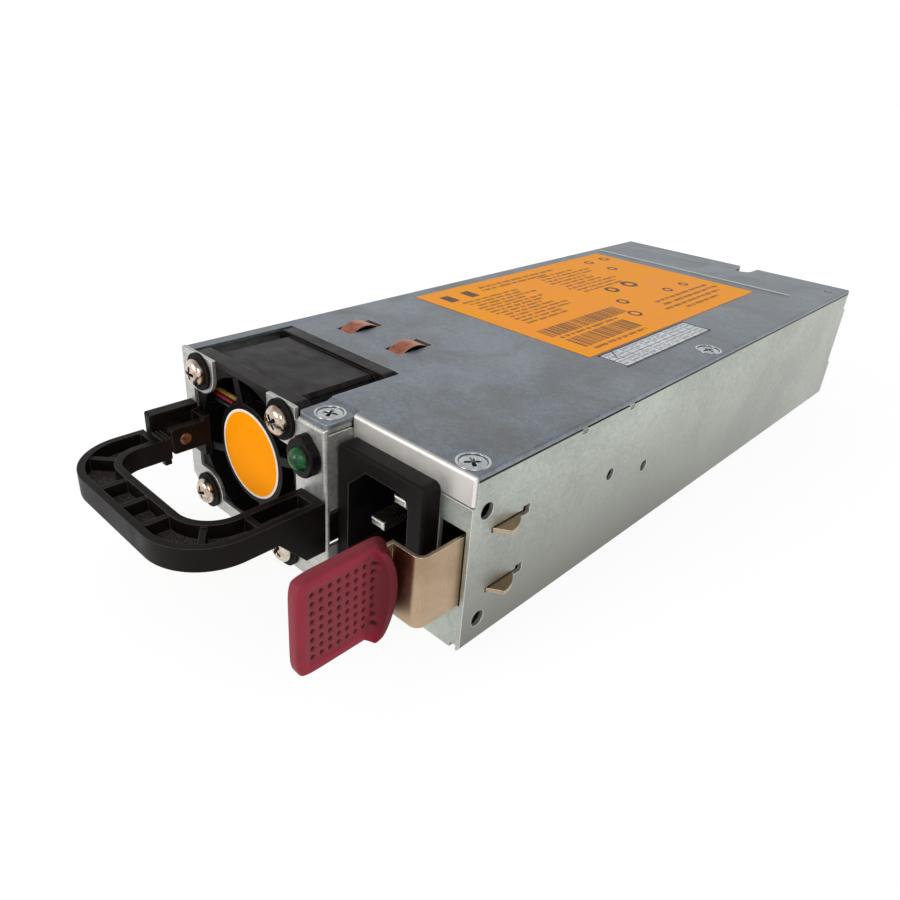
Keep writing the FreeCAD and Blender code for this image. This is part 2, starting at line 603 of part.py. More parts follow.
def top_cover():
    """Cover sheet with a folded front lip and a strip that runs forward beside the fan."""
    strip_right = FAN_X - FAN_SIZE / 2 - FRONT_GAP
    step = FRONT + TONGUE_STEP
    sheet = box(LEFT, RIGHT, FRONT, REAR, LID, HEIGHT)
    sheet = sheet.cut(box(strip_right, COLUMN_LEFT + FRONT_GAP, FRONT - 1, FAN_BACK + FRONT_GAP,
                          LID - 1, HEIGHT + 1))
    sheet = sheet.cut(box(COLUMN_LEFT, COLUMN_RIGHT + FIT, FRONT - 1, step, LID - 1, HEIGHT + 1))
    lip = box(COLUMN_RIGHT + FIT, RIGHT, FRONT, FRONT + SHEET, HEIGHT - COVER_LIP, HEIGHT)
    strip = box(LEFT, strip_right, NOSE_BACK, FRONT + 1, LID, HEIGHT)
    bead_y, bead_radius, bead_height = BEAD
    bead_left, bead_right = BEAD_MARGIN
    bead = rod(LEFT + bead_left, FRONT + bead_y, HEIGHT + bead_height - bead_radius, bead_radius,
               WIDTH - bead_left - bead_right, X_AXIS)
    bead = bead.common(box(LEFT, RIGHT, FRONT, REAR, LID + 0.5, HEIGHT + 1))
    whole = join([sheet, lip, strip, bead])
    whole = round_edges(whole, 0.9, lambda c, e: runs_along(e, X_AXIS) and c.z > HEIGHT - TINY
                        and c.y < FRONT + TINY and c.x > COLUMN_RIGHT)
    whole = round_edges(whole, 0.6, lambda c, e: runs_along(e, Y_AXIS) and c.z > HEIGHT - TINY
                        and abs(abs(c.x) - WIDTH / 2) < TINY)
    tools = finger_slots() + rear_notch()
    tools.append(rod(RIGHT - DIMPLE[0], REAR - DIMPLE[1], HEIGHT - SHEET / 2, DIMPLE[2], 1, Z_AXIS))
    tools += [countersink(x, y, HEIGHT) for x, y in cover_screw_points()]
    return [join([cut_all(whole, tools), cover_tongue()])]


def cover_screws():
    """Countersunk screws of the cover and of its tongue."""
    screws = [flat_screw(x, y, HEIGHT, COVER_SCREW_LENGTH) for x, y in cover_screw_points()]
    x, y = tab_screw_point()
    return screws + [flat_screw(x, y, HEIGHT - TONGUE_DROP, TONGUE_SCREW_LENGTH)]


# ---- front bracket ------------------------------------------------------------------------------
def fan_corners():
    """Centres of the fan's four screw holes."""
    half = FAN_PITCH / 2
    return [(FAN_X + sx * half, FAN_Z + sz * half) for sx in (-1, 1) for sz in (-1, 1)]


def hook_window():
    """Slot through the column's front face for the handle's hook."""
    return box(COLUMN_LEFT + HOOK_SIDE[0] - HOOK_GAP, COLUMN_RIGHT - HOOK_SIDE[1] + HOOK_GAP, FACE - 1,
               NOSE_BACK + TINY, HOOK_LOW - HOOK_GAP, HOOK_HIGH + HOOK_GAP)


def front_bracket():
    """Ears at the fan's corners and the lamp column, with a side flange and a top flange."""
    inner_left = LEFT + SIDE_FLANGE[0]
    low = SIDE_FLANGE[1]
    shelf = LID - TONGUE_DROP
    plate = prism([Vector(LEFT + 6.0, FACE, 0), Vector(COLUMN_RIGHT, FACE, 0),
                   Vector(COLUMN_RIGHT, FACE, HEIGHT), Vector(LEFT, FACE, HEIGHT),
                   Vector(LEFT, FACE, 6.0)], Vector(0, SHEET, 0))
    plate = plate.cut(box(inner_left, COLUMN_LEFT, FACE - 1, NOSE_BACK + 1, low, HEIGHT + 1))
    ears = []
    for x, z in fan_corners():
        ears.append(rod(x, FACE, z, EAR_RADIUS, SHEET, Y_AXIS))
        side_x = inner_left if x < FAN_X else COLUMN_LEFT
        side_z = low if z < FAN_Z else HEIGHT
        x0, x1 = sorted((x, side_x))
        z0, z1 = sorted((z, side_z))
        ears.append(box(x0, x1, FACE, NOSE_BACK, z - EAR_RADIUS, z + EAR_RADIUS))
        ears.append(box(x - EAR_RADIUS, x + EAR_RADIUS, FACE, NOSE_BACK, z0, z1))
    ears = [ear.common(box(LEFT + 0.5, COLUMN_RIGHT, FACE, NOSE_BACK, 0.2, HEIGHT)) for ear in ears]
    plate = join([plate] + ears)
    plate = plate.cut(box(COLUMN_LEFT, COLUMN_RIGHT + 1, FACE - 1, NOSE_BACK + 1, shelf, HEIGHT + 1))
    side = box(COLUMN_RIGHT - SHEET, COLUMN_RIGHT, FACE, FRONT + SHEET, SHEET, shelf - SHEET - 0.2)
    side = round_edges(side, 1.8, lambda c, e: runs_along(e, X_AXIS) and c.z > LID / 2
                       and c.y > FRONT)
    corner = box(COLUMN_RIGHT - SHEET, COLUMN_RIGHT, FACE, NOSE_BACK, LID / 2, shelf)
    side = side.cut(box(COLUMN_RIGHT - 2 * SHEET, COLUMN_RIGHT + 1, NOSE_BACK + 0.2, FRONT - 2.6,
                        HOOK_LOW - 1.1, HOOK_HIGH + 0.9))
    flange = box(COLUMN_LEFT + FRONT_GAP + FIT, COLUMN_RIGHT - 0.3, FACE, FRONT, shelf - SHEET, shelf)
    bracket = join([plate, side, corner, flange])
    bracket = round_edges(bracket, 0.9, lambda c, e: abs(c.y - FACE) < TINY and c.z > 1.5
                          and ((runs_along(e, Z_AXIS) and abs(c.x - COLUMN_RIGHT) < TINY)
                               or (runs_along(e, X_AXIS) and abs(c.z - shelf) < TINY
                                   and c.x > COLUMN_LEFT)))
    tools = [rod(x, FACE - 1, z, GROMMET_NECK + 0.05, 3 * SHEET, Y_AXIS) for x, z in fan_corners()]
    tools.append(rod(LAMP_X, FACE - 1, LAMP_HEIGHT, LAMP_RADIUS + 0.6, 3 * SHEET, Y_AXIS))
    tools.append(hook_window())
    tools.append(box(COLUMN_LEFT, COLUMN_LEFT + 1.0, FACE - 1, NOSE_BACK + 1, HEIGHT - 2.5, HEIGHT + 1))
    tools.append(box(LEFT + LUG_SEAT, LEFT + LUG_WIDE, FACE - 1, NOSE_BACK + 1, LUG_LOW, LUG_HIGH))
    x, y = tab_screw_point()
    tools.append(rod(x, y, shelf - 2 * SHEET, TAPPED, 3 * SHEET, Z_AXIS))
    return [cut_all(bracket, tools)]


# ---- fan ----------------------------------------------------------------------------------------
def fan_frame():
    """Square frame: two flanges, recessed duct, struts and motor base with the bearing tube."""
    half = FAN_SIZE / 2
    body_half = half - FAN_RECESS
    x0, x1 = FAN_X - half, FAN_X + half
    flanges = [box(x0, x1, NOSE_BACK, NOSE_BACK + FAN_FLANGE, 0, FAN_SIZE),
               box(x0, x1, FAN_BACK - FAN_FLANGE, FAN_BACK, 0, FAN_SIZE)]
    duct = box(FAN_X - body_half, FAN_X + body_half, NOSE_BACK, FAN_BACK, FAN_Z - body_half,
               FAN_Z + body_half)
    for sx in (-1, 1):
        for sz in (-1, 1):
            cx, cz = FAN_X + sx * body_half, FAN_Z + sz * body_half
            corner = prism([Vector(cx + sx, NOSE_BACK + FAN_FLANGE, cz + sz),
                            Vector(cx - sx * FAN_CORNER, NOSE_BACK + FAN_FLANGE, cz + sz),
                            Vector(cx + sx, NOSE_BACK + FAN_FLANGE, cz - sz * FAN_CORNER)],
                           Vector(0, FAN_DEPTH - 2 * FAN_FLANGE, 0))
            duct = duct.cut(corner)
    frame = join(flanges + [duct])
    frame = round_edges(frame, 1.8, lambda c, e: runs_along(e, Y_AXIS)
                        and abs(abs(c.x - FAN_X) - half) < TINY and abs(abs(c.z - FAN_Z) - half) < TINY)
    frame = frame.cut(rod(FAN_X, NOSE_BACK - 1, FAN_Z, FAN_BORE, FAN_DEPTH + 2, Y_AXIS))
    parts = [frame, rod(FAN_X, BASE_Y, FAN_Z, MOTOR_RADIUS, MOTOR_THICK, Y_AXIS)]
    wide, deep = STRUT
    for angle in STRUTS:
        strut = box(0, FAN_BORE + 0.6, BASE_Y, BASE_Y + deep, -wide / 2, wide / 2)
        strut.rotate(Vector(0, 0, 0), Y_AXIS, -angle)
        strut.translate(Vector(FAN_X, 0, FAN_Z))
        parts.append(strut)
    tube_start = BASE_Y + MOTOR_THICK
    parts.append(rod(FAN_X, tube_start - TINY, FAN_Z, BEARING_RADIUS + TUBE_WALL, TUBE_LENGTH, Y_AXIS))
    frame = join(parts)
    tools = [rod(FAN_X, BASE_Y + BASE_WALL, FAN_Z, BEARING_RADIUS + 0.02, FAN_DEPTH, Y_AXIS)]
    for x, z in fan_corners():
        tools.append(rod(x, NOSE_BACK - 1, z, SCREW_RADIUS + 0.05, FAN_DEPTH + 2, Y_AXIS))
    tools.append(box(x0 - 1, FAN_X - half + 7, BASE_Y + 0.6, BASE_Y + 3.4, LEAD_LOW - 0.8,
                     LEAD_LOW + 2 * LEAD_STEP + 0.8))
    return [cut_all(frame, tools)]


def rotor_start():
    """Front rim of the rotor's cup."""
    return BASE_Y + MOTOR_THICK + ROTOR_GAP


def fan_blade(angle):
    """One pitched blade between the hub and the duct."""
    blade = box(-BLADE_CHORD / 2, BLADE_CHORD / 2, -BLADE_THICK / 2, BLADE_THICK / 2,
                MOTOR_RADIUS - 0.6, FAN_BORE)
    blade.rotate(Vector(0, 0, 0), Z_AXIS, 90 - BLADE_PITCH)
    blade.translate(Vector(0, rotor_start() + ROTOR_LENGTH / 2, 0))
    blade.rotate(Vector(0, 0, 0), Y_AXIS, angle)
    blade.translate(Vector(FAN_X, 0, FAN_Z))
    return blade


def fan_rotor():
    """Hub cup with blades, open to the front."""
    start = rotor_start()
    cup = rod(FAN_X, start, FAN_Z, MOTOR_RADIUS, ROTOR_LENGTH, Y_AXIS)
    cup = round_edges(cup, 1.0, lambda c, e: c.y > start + ROTOR_LENGTH - TINY)
    blades = [fan_blade(360.0 * index / BLADE_COUNT) for index in range(BLADE_COUNT)]
    ring = tube(FAN_X, start + 1, FAN_Z, FAN_BORE - BLADE_TIP_GAP, MOTOR_RADIUS - 0.3,
                ROTOR_LENGTH - 2, Y_AXIS)
    blades = [blade.common(ring) for blade in blades]
    rotor = join([cup] + blades)
    hollow = rod(FAN_X, start - 1, FAN_Z, MOTOR_RADIUS - HUB_WALL, ROTOR_LENGTH - 1.4, Y_AXIS)
    boss = rod(FAN_X, start + ROTOR_LENGTH - 3.6, FAN_Z, 3.2, 3.0, Y_AXIS)
    rotor = join([rotor.cut(hollow), boss])
    return [rotor.cut(rod(FAN_X, start, FAN_Z, SHAFT_RADIUS + 0.01, ROTOR_LENGTH - 0.8, Y_AXIS))]


def fan_magnet():
    """Ring magnet inside the rotor's cup."""
    outer = MOTOR_RADIUS - HUB_WALL - 0.02
    return [tube(FAN_X, rotor_start() + 0.6, FAN_Z, outer, outer - MAGNET_THICK, MAGNET_LENGTH, Y_AXIS)]


def fan_shaft():
    """Steel shaft pressed into the rotor's boss."""
    start = BASE_Y + BASE_WALL + 0.4
    end = rotor_start() + ROTOR_LENGTH - 1.0
    return [rod(FAN_X, start, FAN_Z, SHAFT_RADIUS, end - start, Y_AXIS)]


def fan_bearings():
    """Two ball bearings in the tube of the motor base."""
    first = BASE_Y + BASE_WALL + 0.8
    return [tube(FAN_X, y, FAN_Z, BEARING_RADIUS, SHAFT_RADIUS + RUNNING, BEARING_LENGTH, Y_AXIS)
            for y in (first, first + BEARING_PITCH)]


def fan_stator():
    """Four-pole laminated core on the bearing tube."""
    start = rotor_start() + STATOR_START
    end = start + STATOR_DEPTH
    inner = BEARING_RADIUS + TUBE_WALL + 0.02
    outer = MOTOR_RADIUS - HUB_WALL - MAGNET_THICK - STATOR_GAP
    core = [rod(FAN_X, start, FAN_Z, inner + 1.2, STATOR_DEPTH, Y_AXIS)]
    for index in range(POLES):
        arm = box(0, outer - 1.0, start, end, -POLE_ARM / 2, POLE_ARM / 2)
        shoe = box(outer - 1.6, outer + 1, start, end, -POLE_SHOE / 2, POLE_SHOE / 2)
        arm = arm.fuse(shoe).common(rod(0, start, 0, outer, STATOR_DEPTH, Y_AXIS))
        arm.rotate(Vector(0, 0, 0), Y_AXIS, 360.0 / POLES * index)
        arm.translate(Vector(FAN_X, 0, FAN_Z))
        core.append(arm)
    return [join(core).cut(rod(FAN_X, start, FAN_Z, inner, STATOR_DEPTH, Y_AXIS))]


def fan_coils():
    """Copper coil on each arm of the stator."""
    start = rotor_start() + STATOR_START
    end = start + STATOR_DEPTH
    reach = BEARING_RADIUS + TUBE_WALL + 1.35
    long, across, over = COIL
    slot = POLE_ARM / 2 + 0.05
    coils = []
    for index in range(POLES):
        coil = box(reach, reach + long, start - over, end + over, -across / 2, across / 2)
        coil = coil.cut(box(reach - 1, reach + 4, start - 0.05, end + 0.05, -slot, slot))
        coil.rotate(Vector(0, 0, 0), Y_AXIS, 360.0 / POLES * index)
        coil.translate(Vector(FAN_X, 0, FAN_Z))
        coils.append(coil)
    return coils


def fan_hub_label():
    """Round paper label on the motor base."""
    return [rod(FAN_X, BASE_Y - HUB_LABEL_THICK, FAN_Z, MOTOR_RADIUS - HUB_LABEL_MARGIN,
                HUB_LABEL_THICK, Y_AXIS)]


def fan_grommets():
    """Rubber bush under each fan screw, through the bracket's ear."""
    bushes = []
    for x, z in fan_corners():
        flange = rod(x, FACE - GROMMET_THICK, z, GROMMET_RADIUS, GROMMET_THICK, Y_AXIS)
        neck = rod(x, FACE, z, GROMMET_NECK, SHEET, Y_AXIS)
        bore = rod(x, FACE - 2, z, SCREW_RADIUS + 0.05, 5, Y_AXIS)
        bushes.append(join([flange, neck]).cut(bore))
    return bushes


def pan_screw(x, y, z, radius, length, head_radius, head_height):
    """Pan head screw along +Y with a cross recess, seated at y."""
    head = rod(x, y - head_height, z, head_radius, head_height, Y_AXIS)
    head = round_edges(head, head_height * 0.55, lambda c, e: c.y < y - head_height + TINY)
    shank = rod(x, y - TINY, z, radius, length, Y_AXIS)
    top = y - head_height
    arm = head_radius * 0.62
    arms = [box(x - arm, x + arm, top - 1, top + 1.1, z - 0.4, z + 0.4),
            box(x - 0.4, x + 0.4, top - 1, top + 1.1, z - arm, z + arm)]
    return cut_all(join([head, shank]), arms)


def fan_screws():
    """Four screws through the grommets into the fan's front flange."""
    seat = FACE - GROMMET_THICK
    return [pan_screw(x, seat, z, SCREW_RADIUS, FAN_SCREW_LENGTH, HEAD_RADIUS, HEAD_HEIGHT)
            for x, z in fan_corners()]


def fan_lead(index):
    """One lead: from the motor base out of the frame, back along its side, to the connector."""
    level = LEAD_LOW + LEAD_STEP * index
    y = BASE_Y + 2.0
    side = LEFT + SHEET + (FAN_MARGIN - SHEET) / 2
    reach = MOTOR_RADIUS + 0.75
    start = Vector(FAN_X - math.sqrt(reach ** 2 - (level - FAN_Z) ** 2), y, level)
    plug_x = PLUG_X + PLUG_PITCH * (index - 1)
    points = [start, Vector(side, y, level),
              Vector(side, FAN_BACK + 2.5, level), Vector(plug_x, PLUG_Y, level - 3.0),
              Vector(plug_x, PLUG_Y, BOARD_TOP + PLUG[2])]
    return bent_wire(points, LEAD_RADIUS, LEAD_BEND)


def fan_connector():
    """Three-way plug on the main board."""
    half_x, half_y = PLUG[0] / 2, PLUG[1] / 2
    return [rounded_block(PLUG_X - half_x, PLUG_X + half_x, PLUG_Y - half_y, PLUG_Y + half_y, BOARD_TOP,
                          BOARD_TOP + PLUG[2], 0.5, Z_AXIS)]


# ---- status lamp --------------------------------------------------------------------------------
def lamp_holder():
    """Black pear-shaped holder on the column, with a neck through it."""
    neck_radius = LAMP_RADIUS + 0.5
    disc = rod(LAMP_X, FACE - HOLDER_THICK, LAMP_HEIGHT, HOLDER_RADIUS, HOLDER_THICK, Y_AXIS)
    lobe = rod(LAMP_X, FACE - HOLDER_THICK, LAMP_HEIGHT + LOBE_RISE, HOLDER_LOBE, HOLDER_THICK, Y_AXIS)
    neck = rod(LAMP_X, FACE - TINY, LAMP_HEIGHT, neck_radius, LAMP_NECK, Y_AXIS)
    holder = join([disc, lobe])
    holder = round_edges(holder, 0.5, lambda c, e: c.y < FACE - HOLDER_THICK + TINY)
    return [join([holder, neck]).cut(rod(LAMP_X, FACE - 4, LAMP_HEIGHT, LAMP_RADIUS + 0.05, 10, Y_AXIS))]


def lamp_lens():
    """Green domed lamp."""
    shoulder = FACE - LAMP_PROUD + LAMP_RADIUS
    body = rod(LAMP_X, shoulder, LAMP_HEIGHT, LAMP_RADIUS, LAMP_BODY, Y_AXIS)
    dome = Part.makeSphere(LAMP_RADIUS, Vector(LAMP_X, shoulder, LAMP_HEIGHT))
    return [join([body, dome.common(box(LAMP_X - 5, LAMP_X + 5, shoulder - 5, shoulder + TINY,
                                        LAMP_HEIGHT - 5, LAMP_HEIGHT + 5))])]


def lamp_leads():
    """Two leads from the lamp down to the main board."""
    start = FACE - LAMP_PROUD + LAMP_RADIUS + LAMP_BODY
    leads = []
    for side in (-1, 1):
        x = LAMP_X + side * LAMP_LEAD_PITCH / 2
        points = [Vector(x, start, LAMP_HEIGHT), Vector(x, PLUG_Y, LAMP_HEIGHT),
                  Vector(x, PLUG_Y, BOARD_TOP)]
        leads.append(bent_wire(points, LAMP_LEAD_RADIUS, 2.0))
    return leads


# ---- handle -------------------------------------------------------------------------------------
def loop_solid(inset, low, high, back):
    """The loop's band, drawn in by a margin on both sides, between two heights."""
    x0, x1 = HANDLE_LEFT + inset, HANDLE_RIGHT - inset
    y0 = HANDLE_FRONT + inset
    outer = front_rounded(x0, x1, y0, back, HANDLE_RADIUS - inset, HANDLE_RADIUS - inset)
    inner = front_rounded(ARM_RIGHT - inset, FOOT_LEFT + inset, HANDLE_FRONT + HANDLE_BAR - inset,
                          back + 1, HANDLE_LEFT_INSIDE + inset, HANDLE_RIGHT_INSIDE + inset)
    solid = outer.extrude(Vector(0, 0, high - low)).cut(inner.extrude(Vector(0, 0, high - low)))
    solid.translate(Vector(0, 0, low))
    return solid


def handle_ribs():
    """Cross ribs that divide the pocket of the loop."""
    floor = HANDLE_TOP - HANDLE_POCKET
    top = HANDLE_TOP - RIB_DROP
    half = HANDLE_RIB / 2
    ribs = []
    for share in HANDLE_RIBS:
        x = HANDLE_LEFT + (HANDLE_RIGHT - HANDLE_LEFT) * share
        ribs.append(box(x - half, x + half, HANDLE_FRONT + 1, HANDLE_FRONT + HANDLE_BAR - 1, floor, top))
    centres = (HANDLE_LEFT + HANDLE_RADIUS, HANDLE_RIGHT - HANDLE_RADIUS)
    for x, angle in zip(centres, CORNER_RIBS):
        rib = box(0, HANDLE_RADIUS + 2, -half, half, floor, top)
        rib.rotate(Vector(0, 0, 0), Z_AXIS, angle)
        rib.translate(Vector(x, HANDLE_FRONT + HANDLE_RADIUS, 0))
        ribs.append(rib)
    y = FACE - ARM_RIB
    ribs.append(box(FOOT_LEFT + 1, HANDLE_RIGHT - 1, y - half, y + half, floor, top))
    return ribs


def handle():
    """Carrying loop, its hinge tongue on the left and its deep hooked foot on the right."""
    right_back = FACE - ARM_GAP
    loop = loop_solid(0, HANDLE_LOW, HANDLE_TOP, right_back)
    pocket = loop_solid(HANDLE_RIM, HANDLE_TOP - HANDLE_POCKET, HANDLE_TOP + 1, right_back)
    behind_left = box(HANDLE_LEFT - 1, ARM_RIGHT + 1, LEFT_ARM_END, FACE + 1, 0, HEIGHT)
    left_end, right_end = POCKET_END
    keep_left = box(HANDLE_LEFT - 1, ARM_RIGHT + 1, LEFT_ARM_END - left_end, FACE + 1, 0, HEIGHT)
    keep_right = box(FOOT_LEFT - 1, HANDLE_RIGHT + 1, right_back - right_end, FACE + 1, 0, HEIGHT)
    pocket = cut_all(pocket, [keep_left, keep_right])
    ribs = [rib.common(loop_solid(HANDLE_RIM - 0.2, HANDLE_LOW, HANDLE_TOP, right_back))
            for rib in handle_ribs()]
    loop = join([loop.cut(behind_left).cut(pocket)] + ribs)
    neck_end = PIN_Y - CHEEK_REACH - ARM_GAP
    arm_neck = box(TONGUE[0], ARM_RIGHT, LEFT_ARM_END - TINY, neck_end, HANDLE_LOW, HANDLE_TOP)
    tongue = box(TONGUE[0], TONGUE[1], neck_end - TINY, PIN_Y, HANDLE_LOW + 0.9, HANDLE_TOP)
    eye = rod(TONGUE[0], PIN_Y, PIN_HEIGHT, EYE_RADIUS, TONGUE[1] - TONGUE[0], X_AXIS)
    steps = [box(TONGUE[0], ARM_RIGHT, LEFT_ARM_END + 0.4 + 0.9 * step,
                 LEFT_ARM_END + 0.9 + 0.9 * step, HANDLE_TOP - 0.6, HANDLE_TOP + 0.4) for step in range(3)]
    foot_front = right_back - HANDLE_FOOT_DEPTH
    foot = prism([Vector(FOOT_LEFT, right_back, HANDLE_TOP - HANDLE_FOOT),
                  Vector(FOOT_LEFT, foot_front, HANDLE_TOP - HANDLE_FOOT),
                  Vector(FOOT_LEFT, foot_front - FOOT_SLOPE, HANDLE_LOW + 0.5),
                  Vector(FOOT_LEFT, right_back, HANDLE_LOW + 0.5)], Vector(HANDLE_RIGHT_ARM, 0, 0))
    hook_left = COLUMN_LEFT + HOOK_SIDE[0]
    neck = box(hook_left, COLUMN_RIGHT - HOOK_SIDE[1], right_back - 1, NOSE_BACK + 0.5,
               HOOK_LOW, HOOK_HIGH)
    hook = box(hook_left, COLUMN_RIGHT - HOOK_GAP, NOSE_BACK + HOOK_GAP, FRONT - 2.8,
               HOOK_LOW, HOOK_HIGH)
    nub = box(ARM_RIGHT - 1.6, ARM_RIGHT, LEFT_ARM_END + 0.6, LEFT_ARM_END + 2.2, HANDLE_LOW - 1.3,
              HANDLE_LOW + 0.5)
    whole = join([loop, arm_neck, tongue, eye] + steps + [foot, neck, hook, nub])
    return [whole.cut(rod(LEFT - 1, PIN_Y, PIN_HEIGHT, PIN_RADIUS + 0.05, 20, X_AXIS))]


def handle_lug():
    """Black lug beside the fan: a tall outer cheek, a low inner cheek and a base in the bracket."""
    base = box(LEFT + 0.3, ARM_RIGHT, FACE - LUG_BASE, FACE, LUG_LOW + 2.0, LUG_HIGH)
    plug = box(LEFT + LUG_SEAT + FIT, LEFT + 4.0, FACE - TINY, NOSE_BACK, LUG_LOW + 0.2, LUG_HIGH - 0.2)
    outer = box(BLOCK_LEFT, BLOCK_LEFT + LUG_BLOCK, FACE - LUG_FRONT, FACE, HANDLE_LOW,
                HANDLE_TOP + LUG_RISE)
    outer = round_edges(outer, 0.6, lambda c, e: c.y < FACE - LUG_FRONT + TINY)
    cheek_front = PIN_Y - CHEEK_REACH
    inner = box(ARM_RIGHT - LUG_CHEEK, ARM_RIGHT, cheek_front, FACE, PIN_HEIGHT - EYE_RADIUS - 0.1,
                PIN_HEIGHT + EYE_RADIUS + 0.1)
    inner = round_edges(inner, 0.8, lambda c, e: c.y < cheek_front + TINY and runs_along(e, X_AXIS))
    lug = join([base, plug, outer, inner])
    return [lug.cut(rod(LEFT - 1, PIN_Y, PIN_HEIGHT, PIN_RADIUS, 20, X_AXIS))]


def handle_pin():
    """Steel pin through the lug's cheeks and the handle's eye."""
    start = HANDLE_LEFT + 0.3
    pin = rod(start, PIN_Y, PIN_HEIGHT, PIN_RADIUS, ARM_RIGHT + 0.25 - start, X_AXIS)
    return [round_edges(pin, 0.3, lambda c, e: c.x > ARM_RIGHT)]


# ---- mains inlet --------------------------------------------------------------------------------
def recess_prism(y0, y1):
    """The plug's recess: two cut corners on the earth side, two rounded ones on the other."""
    x0, x1 = INLET_X - RECESS_WIDTH / 2, INLET_X + RECESS_WIDTH / 2
    z0, z1 = INLET_HEIGHT - RECESS_HEIGHT / 2, INLET_HEIGHT + RECESS_HEIGHT / 2
    solid = prism([Vector(x0 + RECESS_CORNER_X, y0, z0), Vector(x1, y0, z0), Vector(x1, y0, z1),
                   Vector(x0 + RECESS_CORNER_X, y0, z1), Vector(x0, y0, z1 - RECESS_CORNER_Z),
                   Vector(x0, y0, z0 + RECESS_CORNER_Z)], Vector(0, y1 - y0, 0))
    return round_edges(solid, RECESS_RADIUS, lambda c, e: runs_along(e, Y_AXIS) and c.x > x1 - TINY)


def inlet_back():
    """Rear face of the inlet's housing."""
    return FRONT - BEZEL_PROUD + RECESS_DEPTH + INLET_WALL


def inlet_housing():
    """Black housing: bezel in front of the case and a box behind it."""
    half_z = BEZEL_HEIGHT / 2
    face = FRONT - BEZEL_PROUD
    bezel = rounded_block(BEZEL_LEFT, BEZEL_RIGHT, face, FRONT, INLET_HEIGHT - half_z,
                          INLET_HEIGHT + half_z, 1.6, Y_AXIS)
    bezel = round_edges(bezel, 0.7, lambda c, e: c.y < face + TINY)
    collar_top = HEIGHT - COVER_LIP - 0.2
    half_x = RECESS_WIDTH / 2 + INLET_WALL
    body_z = RECESS_HEIGHT / 2 + INLET_WALL
    body = box(INLET_X - half_x, INLET_X + half_x, FRONT - 1, inlet_back(), INLET_HEIGHT - body_z,
               INLET_HEIGHT + body_z)
    body = body.cut(box(INLET_X - half_x, INLET_X + half_x, FRONT - 2, FRONT + SHEET, collar_top, HEIGHT))
    reach, deep, tall = WING
    wings = box(INLET_X - half_x - reach, INLET_X + half_x + reach, FRONT + 2 * SHEET + 0.1,
                FRONT + 2 * SHEET + deep, INLET_HEIGHT - tall / 2, INLET_HEIGHT + tall / 2)
    housing = join([bezel, body, wings])
    housing = housing.cut(recess_prism(face - 1, face + RECESS_DEPTH))
    return [cut_all(housing, [blade_box(kind, 0.02) for kind in ("line", "neutral", "earth")])]


def blade_box(kind, margin):
    """Block of one contact blade, grown by a margin."""
    offset = {"line": PIN_SPREAD, "neutral": -PIN_SPREAD, "earth": 0.0}[kind]
    earth = kind == "earth"
    x = INLET_X - EARTH_SIDE if earth else INLET_X + LINE_SIDE
    back = inlet_back() + TAB_REACH
    start = FRONT - BEZEL_PROUD + RECESS_DEPTH - (EARTH_REACH if earth else BLADE_REACH)
    z = INLET_HEIGHT + offset
    return box(x - PIN_LONG / 2 - margin, x + PIN_LONG / 2 + margin, start, back,
               z - PIN_SHORT / 2 - margin, z + PIN_SHORT / 2 + margin)


def contact_blade(kind):
    """One contact blade with eased front edges."""
    blade = blade_box(kind, 0.0)
    start = blade.BoundBox.YMin
    return round_edges(blade, 0.7, lambda c, e: c.y < start + TINY)


def inlet_line_pins():
    """Line and neutral blades."""
    return [contact_blade("line"), contact_blade("neutral")]


def inlet_earth_pin():
    """Earth blade."""
    return [contact_blade("earth")]


def inlet_wires():
    """Three mains wires from the blades' tabs down to the main board."""
    wires = []
    for index, kind in enumerate(("neutral", "line", "earth")):
        tab = blade_box(kind, 0.0).BoundBox
        x = tab.Center.x
        y = BOARD_FRONT + WIRE_PLACE + WIRE_PITCH * index
        points = [Vector(x, tab.YMax, tab.Center.z), Vector(x, y, tab.Center.z), Vector(x, y, BOARD_TOP)]
        wires.append(bent_wire(points, MAINS_WIRE_RADIUS, MAINS_WIRE_BEND))
    return wires


# ---- release latch ------------------------------------------------------------------------------
def folded_strip():
    """Long leg, front leg and the tongue inside the grip."""
    z0, z1 = STRIP_LOW, STRIP_HIGH
    leg = box(STRIP_IN, STRIP_OUT, STRIP_FRONT, FRONT + LATCH_PIVOT, z0, z1)
    core = (GRIP_IN + GRIP_OUT) / 2
    front = box(core - STRIP / 2, STRIP_OUT, STRIP_FRONT, STRIP_FRONT + STRIP, z0, z1)
    tongue = box(core - STRIP / 2, core + STRIP / 2, STRIP_FRONT - GRIP_CORE, STRIP_FRONT + STRIP, z0, z1)
    strip = join([leg, front, tongue])
    strip = round_edges(strip, 2.2, lambda c, e: runs_along(e, Z_AXIS) and c.x > STRIP_OUT - TINY
                        and c.y < STRIP_FRONT + TINY)
    return round_edges(strip, 1.4, lambda c, e: runs_along(e, Z_AXIS) and abs(c.x - STRIP_IN) < TINY
                       and abs(c.y - STRIP_FRONT - STRIP) < TINY)


def latch_spring():
    """Moving part of the strip with its two barbs."""
    return [join([folded_strip()] + [barb(level) for level in BARB_LEVELS])]


